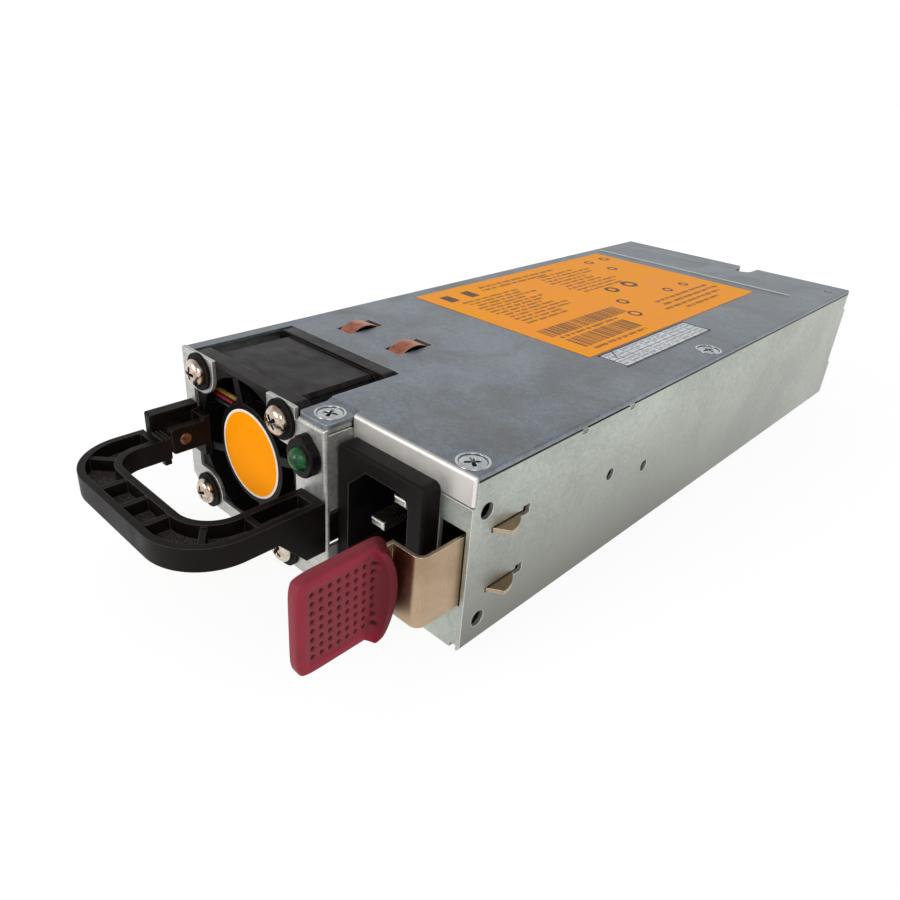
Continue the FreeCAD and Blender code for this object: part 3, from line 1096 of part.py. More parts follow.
def barb(level):
    """Half-moon fin: a short steep front, then an arc that starts level with the wall."""
    y0, y1 = FRONT + BARB_START, FRONT + BARB_END
    tip_x, tip_y = RIGHT + BARB_PROUD, y0 + BARB_FRONT
    low = level - STRIP / 2
    run, drop = y1 - tip_y, tip_x - STRIP_OUT
    radius = (run ** 2 + drop ** 2) / (2 * drop)
    half = math.atan2(run, radius - drop) / 2
    middle = Vector(tip_x - radius * (1 - math.cos(half)), tip_y + radius * math.sin(half), low)
    corners = [Vector(STRIP_OUT, y1, low), Vector(STRIP_IN, y1, low), Vector(STRIP_IN, y0, low),
               Vector(RIGHT - 0.1, y0, low), Vector(tip_x, tip_y, low)]
    arc = Part.Arc(corners[-1], middle, corners[0]).toShape()
    lines = [Part.LineSegment(a, b).toShape() for a, b in zip(corners, corners[1:])]
    return Part.Face(Part.Wire([arc] + lines)).extrude(Vector(0, 0, STRIP))


def latch_root():
    """Riveted rear end of the strip, flat on the wall's inner face."""
    root = box(STRIP_IN, STRIP_OUT, FRONT + LATCH_PIVOT + 0.15, FRONT + STRIP_END, STRIP_LOW, STRIP_HIGH)
    spacers = [tube(STRIP_OUT, FRONT + y, z, RIVET_RADIUS + 1.2, RIVET_RADIUS, STRIP_GAP, X_AXIS)
               for y, z in RIVETS]
    holes = [rod(STRIP_IN - 1, FRONT + y, z, RIVET_RADIUS, 3, X_AXIS) for y, z in RIVETS]
    return [join([cut_all(root, holes)] + spacers)]


def latch_rivets():
    """Two rivets through the wall and the strip's rear end."""
    rivets = []
    for y, z in RIVETS:
        shank = rod(STRIP_IN, FRONT + y, z, RIVET_RADIUS - 0.02, RIGHT - STRIP_IN - 0.75, X_AXIS)
        head = rod(STRIP_IN - RIVET_HEAD[1], FRONT + y, z, RIVET_HEAD[0], RIVET_HEAD[1], X_AXIS)
        rivets.append(join([shank, head]))
    return rivets


def latch_grip():
    """Grip moulded over the strip's front end, dished on both faces, flared at its rear edge."""
    core = (GRIP_IN + GRIP_OUT) / 2
    middle = (STRIP_LOW + STRIP_HIGH) / 2
    z0, z1 = middle - GRIP_HEIGHT / 2, middle + GRIP_HEIGHT / 2
    rear = STRIP_FRONT + GRIP_OVERLAP
    flare_length, flare_rise = GRIP_FLARE
    front = rear - GRIP_LENGTH
    block = rounded_block(GRIP_IN, GRIP_OUT, front, rear, z0, z1, 2.6, X_AXIS)
    flare_start = rear - flare_length
    flare = prism([Vector(core, flare_start, z0), Vector(GRIP_OUT, flare_start, z0),
                   Vector(GRIP_OUT + flare_rise, rear, z0), Vector(core, rear, z0)],
                  Vector(0, 0, GRIP_HEIGHT))
    block = join([block, flare])
    curve = (GRIP_HEIGHT ** 2 / (8 * GRIP_BULGE)) + GRIP_BULGE / 2
    block = block.common(join([rod(GRIP_IN - 1, rear - curve, middle, curve, GRIP_THICK + 5, X_AXIS),
                               box(GRIP_IN - 1, GRIP_OUT + 4, front - 1, rear - 6.0, z0, z1)]))
    dish_z0, dish_z1 = z0 + GRIP_RIM, z1 - GRIP_RIM
    for face, depth in ((GRIP_OUT, 1), (GRIP_IN, -1)):
        x0, x1 = sorted((face - depth * GRIP_DISH, face + depth * 3))
        dish = rounded_block(x0, x1, front + GRIP_RIM, flare_start - 0.2, dish_z0, dish_z1, 1.5, X_AXIS)
        block = block.cut(dish)
    return [block.cut(folded_strip())]


# ---- earthing fingers ---------------------------------------------------------------------------
def finger_root():
    """Line behind the slot where a finger joins its strip."""
    return FRONT + SLOT_START + SLOT_LENGTH + FINGER_ROOT


def finger(x):
    """Spring finger: a flat root under the cover and an arch that rises through the slot."""
    low = LID - FINGER_STRIP[0]
    y_end = FRONT + SLOT_START + SLOT_LENGTH - 0.2
    y_start = FRONT + SLOT_START + 0.4
    half = (y_end - y_start) / 2
    rise = HEIGHT + FINGER_PROUD - FINGER_THICK - low
    radius = (half * half + rise * rise) / (2 * rise)
    middle = (y_start + y_end) / 2
    centre_z = low + rise - radius
    spread = math.asin(half / radius)
    tips = []
    for r in (radius, radius + FINGER_THICK):
        tips.append([Vector(x, middle + side * r * math.sin(spread), centre_z + r * math.cos(spread))
                     for side in (-1, 1)] + [Vector(x, middle, centre_z + r)])
    (in_a, in_b, in_top), (out_a, out_b, out_top) = tips
    outline = Part.Wire([Part.Arc(in_a, in_top, in_b).toShape(),
                         Part.LineSegment(in_b, out_b).toShape(),
                         Part.Arc(out_b, out_top, out_a).toShape(),
                         Part.LineSegment(out_a, in_a).toShape()])
    arch = Part.Face(outline).extrude(Vector(FINGER_WIDTH, 0, 0))
    root = box(x, x + FINGER_WIDTH, y_end - 0.3, finger_root(), low, low + FINGER_THICK)
    shape = join([arch, root])
    shape.translate(Vector(-FINGER_WIDTH / 2, 0, 0))
    return [shape]


def finger_strip():
    """Flat copper strip under the cover that carries both fingers, with two rivets."""
    low = LID - FINGER_STRIP[0]
    y0 = finger_root() + FINGER_JOINT
    x0 = FINGER_X[0] - FINGER_WIDTH
    x1 = FINGER_X[1] + FINGER_WIDTH
    wide = FINGER_STRIP[1]
    strip = box(x0, x1, y0, y0 + wide, low, LID)
    rivets = [rod(x, y0 + wide / 2, low - 0.7, 1.5, 0.8, Z_AXIS) for x in (x0 + 4, x1 - 4)]
    return [join([strip] + rivets)]


# ---- labels -------------------------------------------------------------------------------------
def rating_label():
    """Large orange label, left blank."""
    left, right, start, end = RATING_LABEL
    return [box(LEFT + left, RIGHT - right, FRONT + start, FRONT + end, HEIGHT, HEIGHT + LABEL_THICK)]


def check_label():
    """Small white label beside the orange one."""
    left, right, start, end = CHECK_LABEL
    return [box(RIGHT - left, RIGHT - right, FRONT + start, FRONT + end, HEIGHT, HEIGHT + LABEL_THICK)]


# ---- main board ---------------------------------------------------------------------------------
def along(share):
    """Place on the board between its front and rear edge."""
    return BOARD_FRONT + (BOARD_REAR - BOARD_FRONT) * share


def standoff_points():
    """Six board screws, in from the board's corners and at its middle."""
    points = []
    for share in POST_SHARES:
        points.append((BOARD_LEFT + POST_INSET, along(share)))
        points.append((BOARD_RIGHT - POST_INSET, along(share)))
    return points


def main_board():
    """Circuit board with a card connector that reaches through the rear wall."""
    board = box(BOARD_LEFT, BOARD_RIGHT, BOARD_FRONT, BOARD_REAR, BOARD_LOW, BOARD_TOP)
    edge = box(-EDGE_WIDTH / 2, EDGE_WIDTH / 2, BOARD_REAR - 1, REAR + EDGE_REACH, BOARD_LOW, BOARD_TOP)
    board = join([board, edge])
    board = board.makeChamfer(0.5, [e for e in board.Edges if runs_along(e, X_AXIS)
                                    and e.CenterOfMass.y > REAR + EDGE_REACH - TINY])
    key_x, key_width = EDGE_KEY
    key = box(key_x - key_width / 2, key_x + key_width / 2, REAR + 1.5, REAR + EDGE_REACH + 1,
              BOARD_LOW - 1, BOARD_TOP + 1)
    return [cut_all(board, [key] + [rod(x, y, BOARD_LOW - 1, BOARD_HOLE, 4, Z_AXIS)
                                    for x, y in standoff_points()])]


def edge_contacts():
    """Gold pads on both faces of the card connector."""
    pads = []
    count = int((EDGE_WIDTH - 2 * EDGE_MARGIN) // EDGE_PITCH)
    half = PAD_WIDTH / 2
    for index in range(count):
        x = (index - (count - 1) / 2) * EDGE_PITCH
        if abs(x - EDGE_KEY[0]) < half + EDGE_KEY[1] / 2 + 0.25:
            continue
        for z in (BOARD_TOP, BOARD_LOW - PAD_THICK):
            pads.append(box(x - half, x + half, REAR + 0.8, REAR + EDGE_REACH - 1.0, z, z + PAD_THICK))
    return pads


def insulator_sheet():
    """Plastic sheet between the board and the tray."""
    sheet = box(BOARD_LEFT, BOARD_RIGHT, BOARD_FRONT - 1, BOARD_REAR, SHEET, SHEET + INSULATOR)
    return [cut_all(sheet, [rod(x, y, 0, POST_RADIUS + 0.4, 4, Z_AXIS) for x, y in standoff_points()])]


def board_standoffs():
    """Pressed-in threaded posts under the board."""
    return [tube(x, y, SHEET, POST_RADIUS, POST_BORE, BOARD_LIFT, Z_AXIS) for x, y in standoff_points()]


def board_screws():
    """Pan screws that hold the board on its posts."""
    screws = []
    radius, height = BOARD_HEAD
    for x, y in standoff_points():
        head = rod(x, y, BOARD_TOP, radius, height, Z_AXIS)
        head = round_edges(head, 0.8, lambda c, e: c.z > BOARD_TOP + height - TINY)
        shank = rod(x, y, BOARD_LOW - 2.0, TAPPED, BOARD_THICK + 2.1, Z_AXIS)
        cross = box(x - 1.5, x + 1.5, y - 0.3, y + 0.3, BOARD_TOP + height - 0.8, BOARD_TOP + height + 1)
        screws.append(join([head, shank]).cut(cross))
    return screws


def can(x, y, radius, height):
    """Upright capacitor with a rolled groove."""
    body = rod(x, y, BOARD_TOP, radius, height, Z_AXIS)
    body = round_edges(body, 0.6, lambda c, e: c.z > BOARD_TOP + height - TINY)
    groove = tube(x, y, BOARD_TOP + 2.0, radius + 1, radius - 0.4, 0.9, Z_AXIS)
    return body.cut(groove)


def toroid_coil(x, y, outer, inner, height, turns):
    """Wound ring standing on the board: core ring and the turns around it, as separate solids."""
    z = BOARD_TOP + CHOKE_LIFT
    core = tube(x, y, z, outer, inner, height, Z_AXIS)
    half = CHOKE_WIRE / 2
    over = CHOKE_WIRE
    windings = []
    for index in range(turns):
        angle = 360.0 * (index + 0.5) / turns
        if 60 < angle % 180 < 120:
            continue
        turn = box(inner - over - 0.1, outer + over + 0.1, -half, half, z - over, z + height + over)
        turn = turn.cut(box(inner - 0.1, outer + 0.1, -2, 2, z - 0.1, z + height + 0.1))
        turn.rotate(Vector(0, 0, 0), Z_AXIS, angle)
        turn.translate(Vector(x, y, 0))
        windings.append(turn)
    return core, windings


def choke_cores():
    """Ring cores of the two mains filter chokes and of the boost choke."""
    return [toroid_coil(x, along(share), *sizes)[0] for x, share, *sizes in CHOKES]


def choke_windings():
    """Turns on the ring cores."""
    turns = []
    for x, share, *sizes in CHOKES:
        turns += toroid_coil(x, along(share), *sizes)[1]
    return turns


def x_capacitors():
    """Two boxed mains filter capacitors."""
    return [rounded_block(x, x + wide, along(share), along(share) + deep, BOARD_TOP, BOARD_TOP + tall,
                          0.8, Z_AXIS) for x, share, wide, deep, tall in X_CAPACITORS]


def fuse():
    """Cartridge fuse with two end caps."""
    y = along(FUSE_SHARE)
    z = BOARD_TOP + FUSE_LIFT
    first, last = FUSE_CAPS
    radius, length = FUSE_CAP
    body = rod(first + 0.5, y, z, radius - 0.3, last - first + length - 1.0, X_AXIS)
    caps = [rod(x, y, z, radius, length, X_AXIS) for x in FUSE_CAPS]
    feet = [box(x + 1.5, x + 3.5, y - 0.5, y + 0.5, BOARD_TOP, z) for x in FUSE_CAPS]
    return [join([body] + caps + feet)]


def heatsink(x, start, end, height, fin_side):
    """Upright aluminium plate with short fins on one side."""
    plate = box(x, x + HEATSINK_THICK, along(start), along(end), BOARD_TOP, BOARD_TOP + height)
    fins = []
    reach, thick, pitch = FIN
    y = along(start) + 1.5
    while y < along(end) - 2.5:
        x0, x1 = sorted((x + HEATSINK_THICK / 2, x + HEATSINK_THICK / 2 + fin_side * reach))
        fins.append(box(x0, x1, y, y + thick, BOARD_TOP + 3, BOARD_TOP + height))
        y += pitch
    return join([plate] + fins)


def primary_heatsink():
    """Heat sink of the boost stage, fins towards the right wall."""
    return [heatsink(PRIMARY_X, *PRIMARY_SINK[1:], 1)]


def secondary_heatsink():
    """Heat sink of the output rectifiers."""
    return [heatsink(SECONDARY_X, *SECONDARY_SINK[1:], 1)]


def power_transistor(x, y, side):
    """Upright power package flat against a heat sink, with three legs."""
    thick, wide, tall = PACKAGE
    x0, x1 = sorted((x, x + side * thick))
    foot = BOARD_TOP + PACKAGE_LIFT
    body = rounded_block(x0, x1, y - wide / 2, y + wide / 2, foot, foot + tall, 0.6, X_AXIS)
    middle = (x0 + x1) / 2
    legs = [box(middle - 0.3, middle + 0.3, y + step - 0.6, y + step + 0.6, BOARD_TOP, foot + 1)
            for step in (-LEG_PITCH, 0, LEG_PITCH)]
    return join([body] + legs)


def primary_transistors():
    """Bridge rectifier's neighbours: two switches and a diode on the primary heat sink."""
    return [power_transistor(PRIMARY_X, along(share), -1) for share in PRIMARY_PACKAGES]


def bridge_rectifier():
    """Bridge rectifier on the primary heat sink."""
    thick, wide, tall = BRIDGE
    y = along(BRIDGE_SHARE) - 8.5
    foot = BOARD_TOP + PACKAGE_LIFT
    body = rounded_block(PRIMARY_X - thick, PRIMARY_X, y, y + wide, foot, foot + tall, 0.6, X_AXIS)
    legs = [box(PRIMARY_X - 2.6, PRIMARY_X - 1.8, y + 1 + BRIDGE_PITCH * index,
                y + 2 + BRIDGE_PITCH * index, BOARD_TOP, foot + 1) for index in range(4)]
    return [join([body] + legs)]


def output_rectifiers():
    """Two output rectifiers on the secondary heat sink."""
    share, pitch, count = OUTPUT_PACKAGES
    return [power_transistor(SECONDARY_X, along(share) + pitch * index, -1) for index in range(count)]


def bulk_capacitor():
    """Large capacitor lying along the case."""
    x, z = BOARD_LEFT + BULK_RADIUS + 1.0, BOARD_TOP + BULK_RADIUS + 0.3
    y = along(BULK_SHARE)
    body = rod(x, y, z, BULK_RADIUS, BULK_LENGTH, Y_AXIS)
    body = round_edges(body, 1.0, lambda c, e: not runs_along(e, Y_AXIS))
    groove = tube(x, y + 4.0, z, BULK_RADIUS + 1, BULK_RADIUS - 0.6, 1.4, Y_AXIS)
    places = (x - BULK_LEGS / 2, x + BULK_LEGS / 2)
    legs = [box(leg - 0.6, leg + 0.6, y - 2.4, y + 0.5, z - 0.5, z + 0.5) for leg in places]
    drops = [box(leg - 0.6, leg + 0.6, y - 2.4, y - 1.6, BOARD_TOP, z + 0.5) for leg in places]
    return [join([body.cut(groove)] + legs + drops)]


def transformer_core():
    """Ferrite core: outer frame and centre post."""
    x, y = TRANSFORMER[0], along(TRANSFORMER[1])
    wide, deep, tall = FERRITE
    low, high = BOARD_TOP + FERRITE_LIFT, BOARD_TOP + FERRITE_LIFT + tall
    frame = box(x - wide / 2, x + wide / 2, y - deep / 2, y + deep / 2, low, high)
    windows = []
    for side in (-1, 1):
        x0, x1 = sorted((x + side * FERRITE_POST / 2, x + side * (wide / 2 - FERRITE_OUTER)))
        windows.append(box(x0, x1, y - deep, y + deep, low + FERRITE_OUTER, high - FERRITE_OUTER))
    return [cut_all(frame, windows)]


def transformer_winding():
    """Bobbin and taped winding around the centre post."""
    x, y = TRANSFORMER[0], along(TRANSFORMER[1])
    wide, deep, tall = FERRITE
    low = BOARD_TOP + FERRITE_LIFT + FERRITE_OUTER + 0.5
    high = BOARD_TOP + FERRITE_LIFT + tall - FERRITE_OUTER - 0.5
    half_x = wide / 2 - FERRITE_OUTER - 0.2
    half_y = COIL_DEPTH / 2
    coil = rounded_block(x - half_x, x + half_x, y - half_y, y + half_y, low, high, 5.0, Z_AXIS)
    post = FERRITE_POST / 2 + 0.2
    coil = coil.cut(box(x - post, x + post, y - deep / 2 - 0.1, y + deep / 2 + 0.1, low - 1, high + 1))
    legs = []
    for index in range(4):
        for side in (-1, 1):
            leg_x = x - 9.0 + 6.0 * index
            leg_y = y + side * (half_y - 1.5)
            legs.append(box(leg_x - 0.4, leg_x + 0.4, leg_y - 0.4, leg_y + 0.4, BOARD_TOP, low + 0.5))
    return [join([coil] + legs)]


def output_choke():
    """Output choke: a copper band around a ferrite block."""
    inset, share, wide, deep, tall = OUTPUT_CHOKE
    x, y = BOARD_LEFT + inset, along(share)
    return [rounded_block(x - wide / 2, x + wide / 2, y - deep / 2, y + deep / 2, BOARD_TOP,
                          BOARD_TOP + tall, 1.2, Z_AXIS)]


def output_capacitors():
    """Two rows of upright output capacitors beside the card connector."""
    x, share, across, back, radius, height = OUTPUT_CANS
    columns, rows = OUTPUT_ROWS
    return [can(x + across * column, along(share) + back * row, radius, height)
            for column in range(columns) for row in range(rows)]


def bus_bars():
    """Two copper bars from the rectifiers to the card connector."""
    bars = []
    wide, thick, tall = BAR
    y = along(BAR_SHARE)
    for x in BARS:
        foot = box(x, x + wide, y, BOARD_REAR - 0.5, BOARD_TOP, BOARD_TOP + thick)
        post = box(x, x + wide, y, y + thick, BOARD_TOP, BOARD_TOP + tall)
        bars.append(join([foot, post]))
    return bars


def card_front():
    """Front face of the upright control board."""
    return along(CARD[1]) - 2.0


def control_board():
    """Upright control board with its pin header."""
    wide, tall = CARD[2:]
    y = card_front()
    board = box(CARD_X, CARD_X + wide, y, y + CARD_THICK, BOARD_TOP + 2.0, BOARD_TOP + 2.0 + tall)
    header = box(CARD_X + 2, CARD_X + wide - 2, y - 1.0, y + 2.0, BOARD_TOP, BOARD_TOP + 2.5)
    return [join([board, header])]


def control_chips():
    """Chips on the control board's rear face."""
    y = card_front() + CARD_THICK
    return [box(CARD_X + left, CARD_X + right, y, y + thick, BOARD_TOP + low, BOARD_TOP + high)
            for left, right, low, high, thick in CHIPS]


NODES = (chassis_tray, top_cover, cover_screws, front_bracket, fan_frame, fan_rotor, fan_magnet,
         fan_shaft, fan_bearings, fan_stator, fan_coils, fan_hub_label, fan_grommets, fan_screws,
         fan_connector, lamp_holder, lamp_lens, lamp_leads, handle, handle_lug, handle_pin,
         inlet_housing, inlet_line_pins, inlet_earth_pin, inlet_wires, latch_spring, latch_root,
         latch_rivets, latch_grip, finger_strip, rating_label, check_label, main_board,
         edge_contacts, insulator_sheet, board_standoffs, board_screws, choke_cores, choke_windings,
         x_capacitors, fuse, primary_heatsink, secondary_heatsink, primary_transistors,
         bridge_rectifier, output_rectifiers, bulk_capacitor, transformer_core,
         transformer_winding, output_choke, output_capacitors, bus_bars, control_board,
         control_chips)


def main():
    """Build and write every node."""
    os.makedirs("parts", exist_ok=True)
    for make in NODES:
        save(make.__name__, make())
    for index, colour in enumerate(("black", "red", "yellow")):
        save("fan_lead_" + colour, [fan_lead(index)])
    for side, x in zip(("left", "right"), FINGER_X):
        save("finger_" + side, finger(x))


main()
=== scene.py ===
# %% [markdown]
# # Hot swap server power supply
# A steel case with a fan, a mains inlet, a bail handle and a spring latch, which slides into a bay
# at the back of a server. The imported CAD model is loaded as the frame, and every piece below sits
# on it, in metres. Each step first says what the real piece is, then how it is made here.

# %% Load the frame
import functools
import json
import math
import bmesh
import bpy
import numpy as np
from mathutils import Matrix, Vector


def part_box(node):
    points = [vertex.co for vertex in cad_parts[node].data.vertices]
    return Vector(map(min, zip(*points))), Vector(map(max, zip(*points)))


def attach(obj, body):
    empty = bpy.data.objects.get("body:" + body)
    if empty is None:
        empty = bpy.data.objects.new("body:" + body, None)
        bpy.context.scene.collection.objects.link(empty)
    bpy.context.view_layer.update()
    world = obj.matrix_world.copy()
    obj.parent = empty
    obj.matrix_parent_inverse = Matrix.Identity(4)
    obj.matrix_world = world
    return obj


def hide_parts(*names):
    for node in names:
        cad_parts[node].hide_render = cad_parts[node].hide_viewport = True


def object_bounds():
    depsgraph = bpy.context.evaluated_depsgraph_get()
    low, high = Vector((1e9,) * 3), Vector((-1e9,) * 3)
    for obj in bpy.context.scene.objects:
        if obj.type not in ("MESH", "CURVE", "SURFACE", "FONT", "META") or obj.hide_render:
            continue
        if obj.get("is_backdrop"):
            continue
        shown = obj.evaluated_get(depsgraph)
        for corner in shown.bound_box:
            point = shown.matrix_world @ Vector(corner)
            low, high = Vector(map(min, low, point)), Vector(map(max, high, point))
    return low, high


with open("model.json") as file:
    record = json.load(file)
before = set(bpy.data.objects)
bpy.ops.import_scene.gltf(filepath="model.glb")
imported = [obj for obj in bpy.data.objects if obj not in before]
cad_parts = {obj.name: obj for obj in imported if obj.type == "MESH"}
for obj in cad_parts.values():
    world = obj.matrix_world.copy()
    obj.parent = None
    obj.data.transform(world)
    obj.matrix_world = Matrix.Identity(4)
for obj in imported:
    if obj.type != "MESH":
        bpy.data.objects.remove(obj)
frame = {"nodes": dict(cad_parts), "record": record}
nodes = frame["nodes"]
slot_of = {row["node"]: row["material_slot"] for row in frame["record"]["subparts"]}
cad_low, cad_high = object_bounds()
MM = 0.001


def box_mm(node):
    """A node's lowest and highest corner, in millimetres."""
    return tuple(np.array(corner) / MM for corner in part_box(node))


print("CAD box in mm:", [round(value / MM, 1) for value in (*cad_low, *cad_high)])

# %% [markdown]
# ## Colours and shader nodes
# Colours are picked as sRGB hex values, but a shader works in linear light, so one function turns
# them. A second one adds a shader node with its options, its constants and its links, which keeps
# each finish short enough to read as a recipe. Places are read in millimetres, so the scale of a
# pattern is one divided by its real size.

# %% Helpers for the finishes
def linear(text):
    """sRGB hex to linear light: c / 12.92 up to 0.04045, else ((c + 0.055) / 1.055) ** 2.4."""
    values = [int(text[i:i + 2], 16) / 255 for i in (1, 3, 5)]
    return (*[v / 12.92 if v <= 0.04045 else ((v + 0.055) / 1.055) ** 2.4 for v in values], 1.0)


def add_node(tree, kind, inputs=None, **options):
    """Adds the shader node of this kind and gives its outputs; inputs are constants, hex colours
    or links. A Mix node mixes colours unless its options say otherwise."""
    made = tree.nodes.new("ShaderNode" + kind)
    if kind == "Mix":
        made.data_type = "RGBA"
    for option, value in options.items():
        setattr(made, option, value)
    for key, value in (inputs or {}).items():
        if isinstance(value, bpy.types.NodeSocket):
            tree.links.new(value, made.inputs[key])
        else:
            made.inputs[key].default_value = linear(value) if isinstance(value, str) else value
    return made.outputs


def begin(name):
    """A new material, a function that adds nodes to it, and the place on the object in mm."""
    material = bpy.data.materials.new(name)
    material.use_nodes = True
    material.node_tree.nodes.clear()
    add = functools.partial(add_node, material.node_tree)
    place = add("VectorMath", {
        0: add("TexCoord")["Object"], 1: (1000.0,) * 3}, operation="MULTIPLY")[0]
    return material, add, place


print("grey in linear light:", round(linear("#808080")[0], 4))

# %% [markdown]
# ## How a finish ends
# Every finish ends in one principled shader, and in most of them gloss and relief follow a
# pattern, so one function takes both. Real edges are never quite sharp: a bevel node rounds the
# light on them, and where it turns the normal, an edge mask is 1. Most finishes lighten their
# colour there, a painted edge highlight, in some of them over real wear.

# %% Shader and soft edges
def surface(add, **inputs):
    """Ends a finish: a principled shader with these inputs, linked to the material's output."""
    named = {key.replace("_", " "): value for key, value in inputs.items()}
    shader = add("BsdfPrincipled", named)[0]
    add("OutputMaterial", {"Surface": shader})


def uneven_surface(add, colour, sheen, relief, normal=None, **inputs):
    """Ends a finish whose gloss and relief follow patterns: sheen is a pattern, the range it is
    read over and the roughness at both ends; relief is a pattern, its strength and its depth in
    mm, laid over a normal."""
    pattern, low, high, smooth, dull = sheen
    gloss = add("MapRange", {
        "Value": pattern, "From Min": low, "From Max": high, "To Min": smooth, "To Max": dull})[0]
    height, strength, deep = relief
    bump = {"Height": height, "Strength": strength, "Distance": deep * MM}
    if normal is not None:
        bump["Normal"] = normal
    surface(add, Base_Color=colour, Roughness=gloss, Normal=add("Bump", bump)[0], **inputs)


EDGE_STARTS, EDGE_FULL = 0.99, 0.86         # dot product of the rounded and the true normal


def soft_edges(add, radius):
    """Normal that rounds sharp edges over this radius in mm, and a mask that is 1 on those edges.

    The mask is one less the dot product of the rounded and the true normal, stretched to 0..1."""
    rounded = add("Bevel", {"Radius": radius * MM}, samples=6)[0]
    flat = add("NewGeometry")["Normal"]
    agree = add("VectorMath", {0: rounded, 1: flat}, operation="DOT_PRODUCT")["Value"]
    mask = add("MapRange", {"Value": agree, "From Min": EDGE_STARTS, "From Max": EDGE_FULL})[0]
    return rounded, mask


turned = math.degrees(math.acos(EDGE_FULL))
print("an edge is fully worn where the normal turns by", round(turned), "degrees")

# %% [markdown]
# ## Galvanised sheet steel
# Tray, cover and front bracket are folded from hot dip galvanised sheet. The zinc freezes in small
# crystals, so the grey is mottled in grains under a millimetre and in wide faint clouds, and the
# gloss is soft and uneven. Cut edges, folds and the stamped bead get a painted highlight, a bright
# line. A cell pattern gives the crystals and two noises the grain and the clouds. The cover is
# bluer than the tray. Where the cover meets the wall a painted shadow line darkens the joint, drawn
# by height, and the side walls take painted shade towards the bottom.

# %% Galvanised sheet
CRYSTAL, GRAIN, CLOUD, STAIN = 1.1, 0.45, 26.0, 17.0    # mm; grain is drawn coarser than it is
FOOT_TOP, FOOT_FAR, FOOT_NEAR = 33.0, 80.0, -30.0       # mm; the painted shade low on the walls fades up and back
SHARP = 0.12                                            # mm in which a drawn line ends
BEAD_TOP, WALL_TOP, COVER_FRONT = 40.08, 38.4, -98.0    # mm
LIP_FULL, LIP_ENDS = 0.3, 0.9                           # mm behind the cover's front


def galvanised(name, dark, light, edge, rough, raised=None, seam_shadow=None, foot_shade=None, lip=None,
               stain=None):
    """Zinc coated sheet between two greys. In mm: raised is the height above which a bead gets a
    painted highlight, seam_shadow that above which a painted shadow line darkens the joint with the
    cover, lip the front and the left end of a fold with a painted highlight; foot_shade is the tone
    of painted shade on the side walls towards the bottom, strongest at the front, and stain that of
    wide handling marks."""
    material, add, place = begin(name)
    cells = add("TexVoronoi", {"Vector": place, "Scale": 1 / CRYSTAL})["Color"]
    crystal = add("SeparateColor", {0: cells})[0]
    grain = add("TexNoise", {"Vector": place, "Scale": 1 / GRAIN, "Detail": 5.0})[0]
    cloud = add("TexNoise", {
        "Vector": place, "Scale": 1 / CLOUD, "Detail": 4.0, "Distortion": 0.6})[0]
    sum_one = add("Math", {0: crystal, 1: 0.16, 2: cloud}, operation="MULTIPLY_ADD")[0]
    sum_two = add("Math", {0: grain, 1: 0.75, 2: sum_one}, operation="MULTIPLY_ADD")[0]
    tone = add("MapRange", {"Value": sum_two, "From Min": 0.72, "From Max": 1.2})[0]
    colour = add("Mix", {0: tone, 6: dark, 7: light})[2]
    if stain:
        marks = add("TexNoise", {
            "Vector": place, "Scale": 1 / STAIN, "Detail": 4.0, "Distortion": 1.2})[0]
        marks = add("MapRange", {
            "Value": marks, "From Min": 0.45, "From Max": 0.72, "To Max": 0.5})[0]
        colour = add("Mix", {0: marks, 6: colour, 7: stain})[2]
    across, depth, height = add("SeparateXYZ", {0: place})
    # Painted shade: the side walls darken towards the bottom, most at the front.
    if foot_shade:
        low = add("MapRange", {
            "Value": height, "From Min": FOOT_TOP, "From Max": 0.0, "To Max": 0.95})[0]
        near = add("MapRange", {
            "Value": depth, "From Min": FOOT_FAR, "From Max": FOOT_NEAR, "To Min": 0.25})[0]
        facing = add("SeparateXYZ", {0: add("NewGeometry")["Normal"]})[0]
        sideways = add("Math", {0: facing}, operation="ABSOLUTE")[0]
        for mask in (near, sideways):
            low = add("Math", {0: low, 1: mask}, operation="MULTIPLY")[0]
        colour = add("Mix", {0: low, 6: colour, 7: foot_shade})[2]
    # Painted highlight: the edge mask lightens the zinc to a bright line.
    rounded, worn_and_lit = soft_edges(add, radius=0.3)
    colour = add("Mix", {0: worn_and_lit, 6: colour, 7: edge})[2]
    # Painted highlight along the stamped bead, above raised; painted shadow line where the cover
    # meets the tray's wall, above seam_shadow.
    for start, tone in ((raised, "#d5d9dc"), (seam_shadow, "#1d1715")):
        if start:
            line = add("MapRange", {
                "Value": height, "From Min": start, "From Max": start + SHARP})[0]
            colour = add("Mix", {0: line, 6: colour, 7: tone})[2]
    # Painted highlight on the cover's front fold, where it faces the light.
    if lip:
        front, left = lip
        folded = add("MapRange", {
            "Value": depth, "From Min": front + LIP_ENDS, "From Max": front + LIP_FULL})[0]
        right = add("Math", {0: across, 1: left}, operation="GREATER_THAN")[0]
        folded = add("Math", {0: folded, 1: right}, operation="MULTIPLY")[0]
        colour = add("Mix", {0: folded, 6: colour, 7: "#e6e2dd"})[2]
    uneven_surface(add, colour, (sum_two, 0.6, 1.3, rough - 0.08, rough + 0.12),
                   (grain, 0.18, 0.05), rounded, Metallic=0.82)
    return material


print("zinc crystals:", CRYSTAL, "mm")

# %% Cover, tray and bracket
# The cover's bead and front fold get a painted highlight; the tray gets a painted shadow line under
# the cover and painted shade low on its walls.
cover_zinc = galvanised("galvanised_cover", "#6d757e", "#98a0a8", "#b4babe", 0.42, raised=BEAD_TOP,
                        lip=(COVER_FRONT, box_mm("front_bracket")[1][0]), stain="#70695f")
tray_zinc = galvanised("galvanised_tray", "#a3a8a0", "#c6cbc2", "#e2e4df", 0.48, seam_shadow=WALL_TOP,
                       foot_shade="#797772")
bracket_zinc = galvanised("galvanised_bracket", "#a5a5a1", "#d2d3ce", "#eeefec", 0.4)
print("zinc finishes:", cover_zinc.name, tray_zinc.name, bracket_zinc.name)
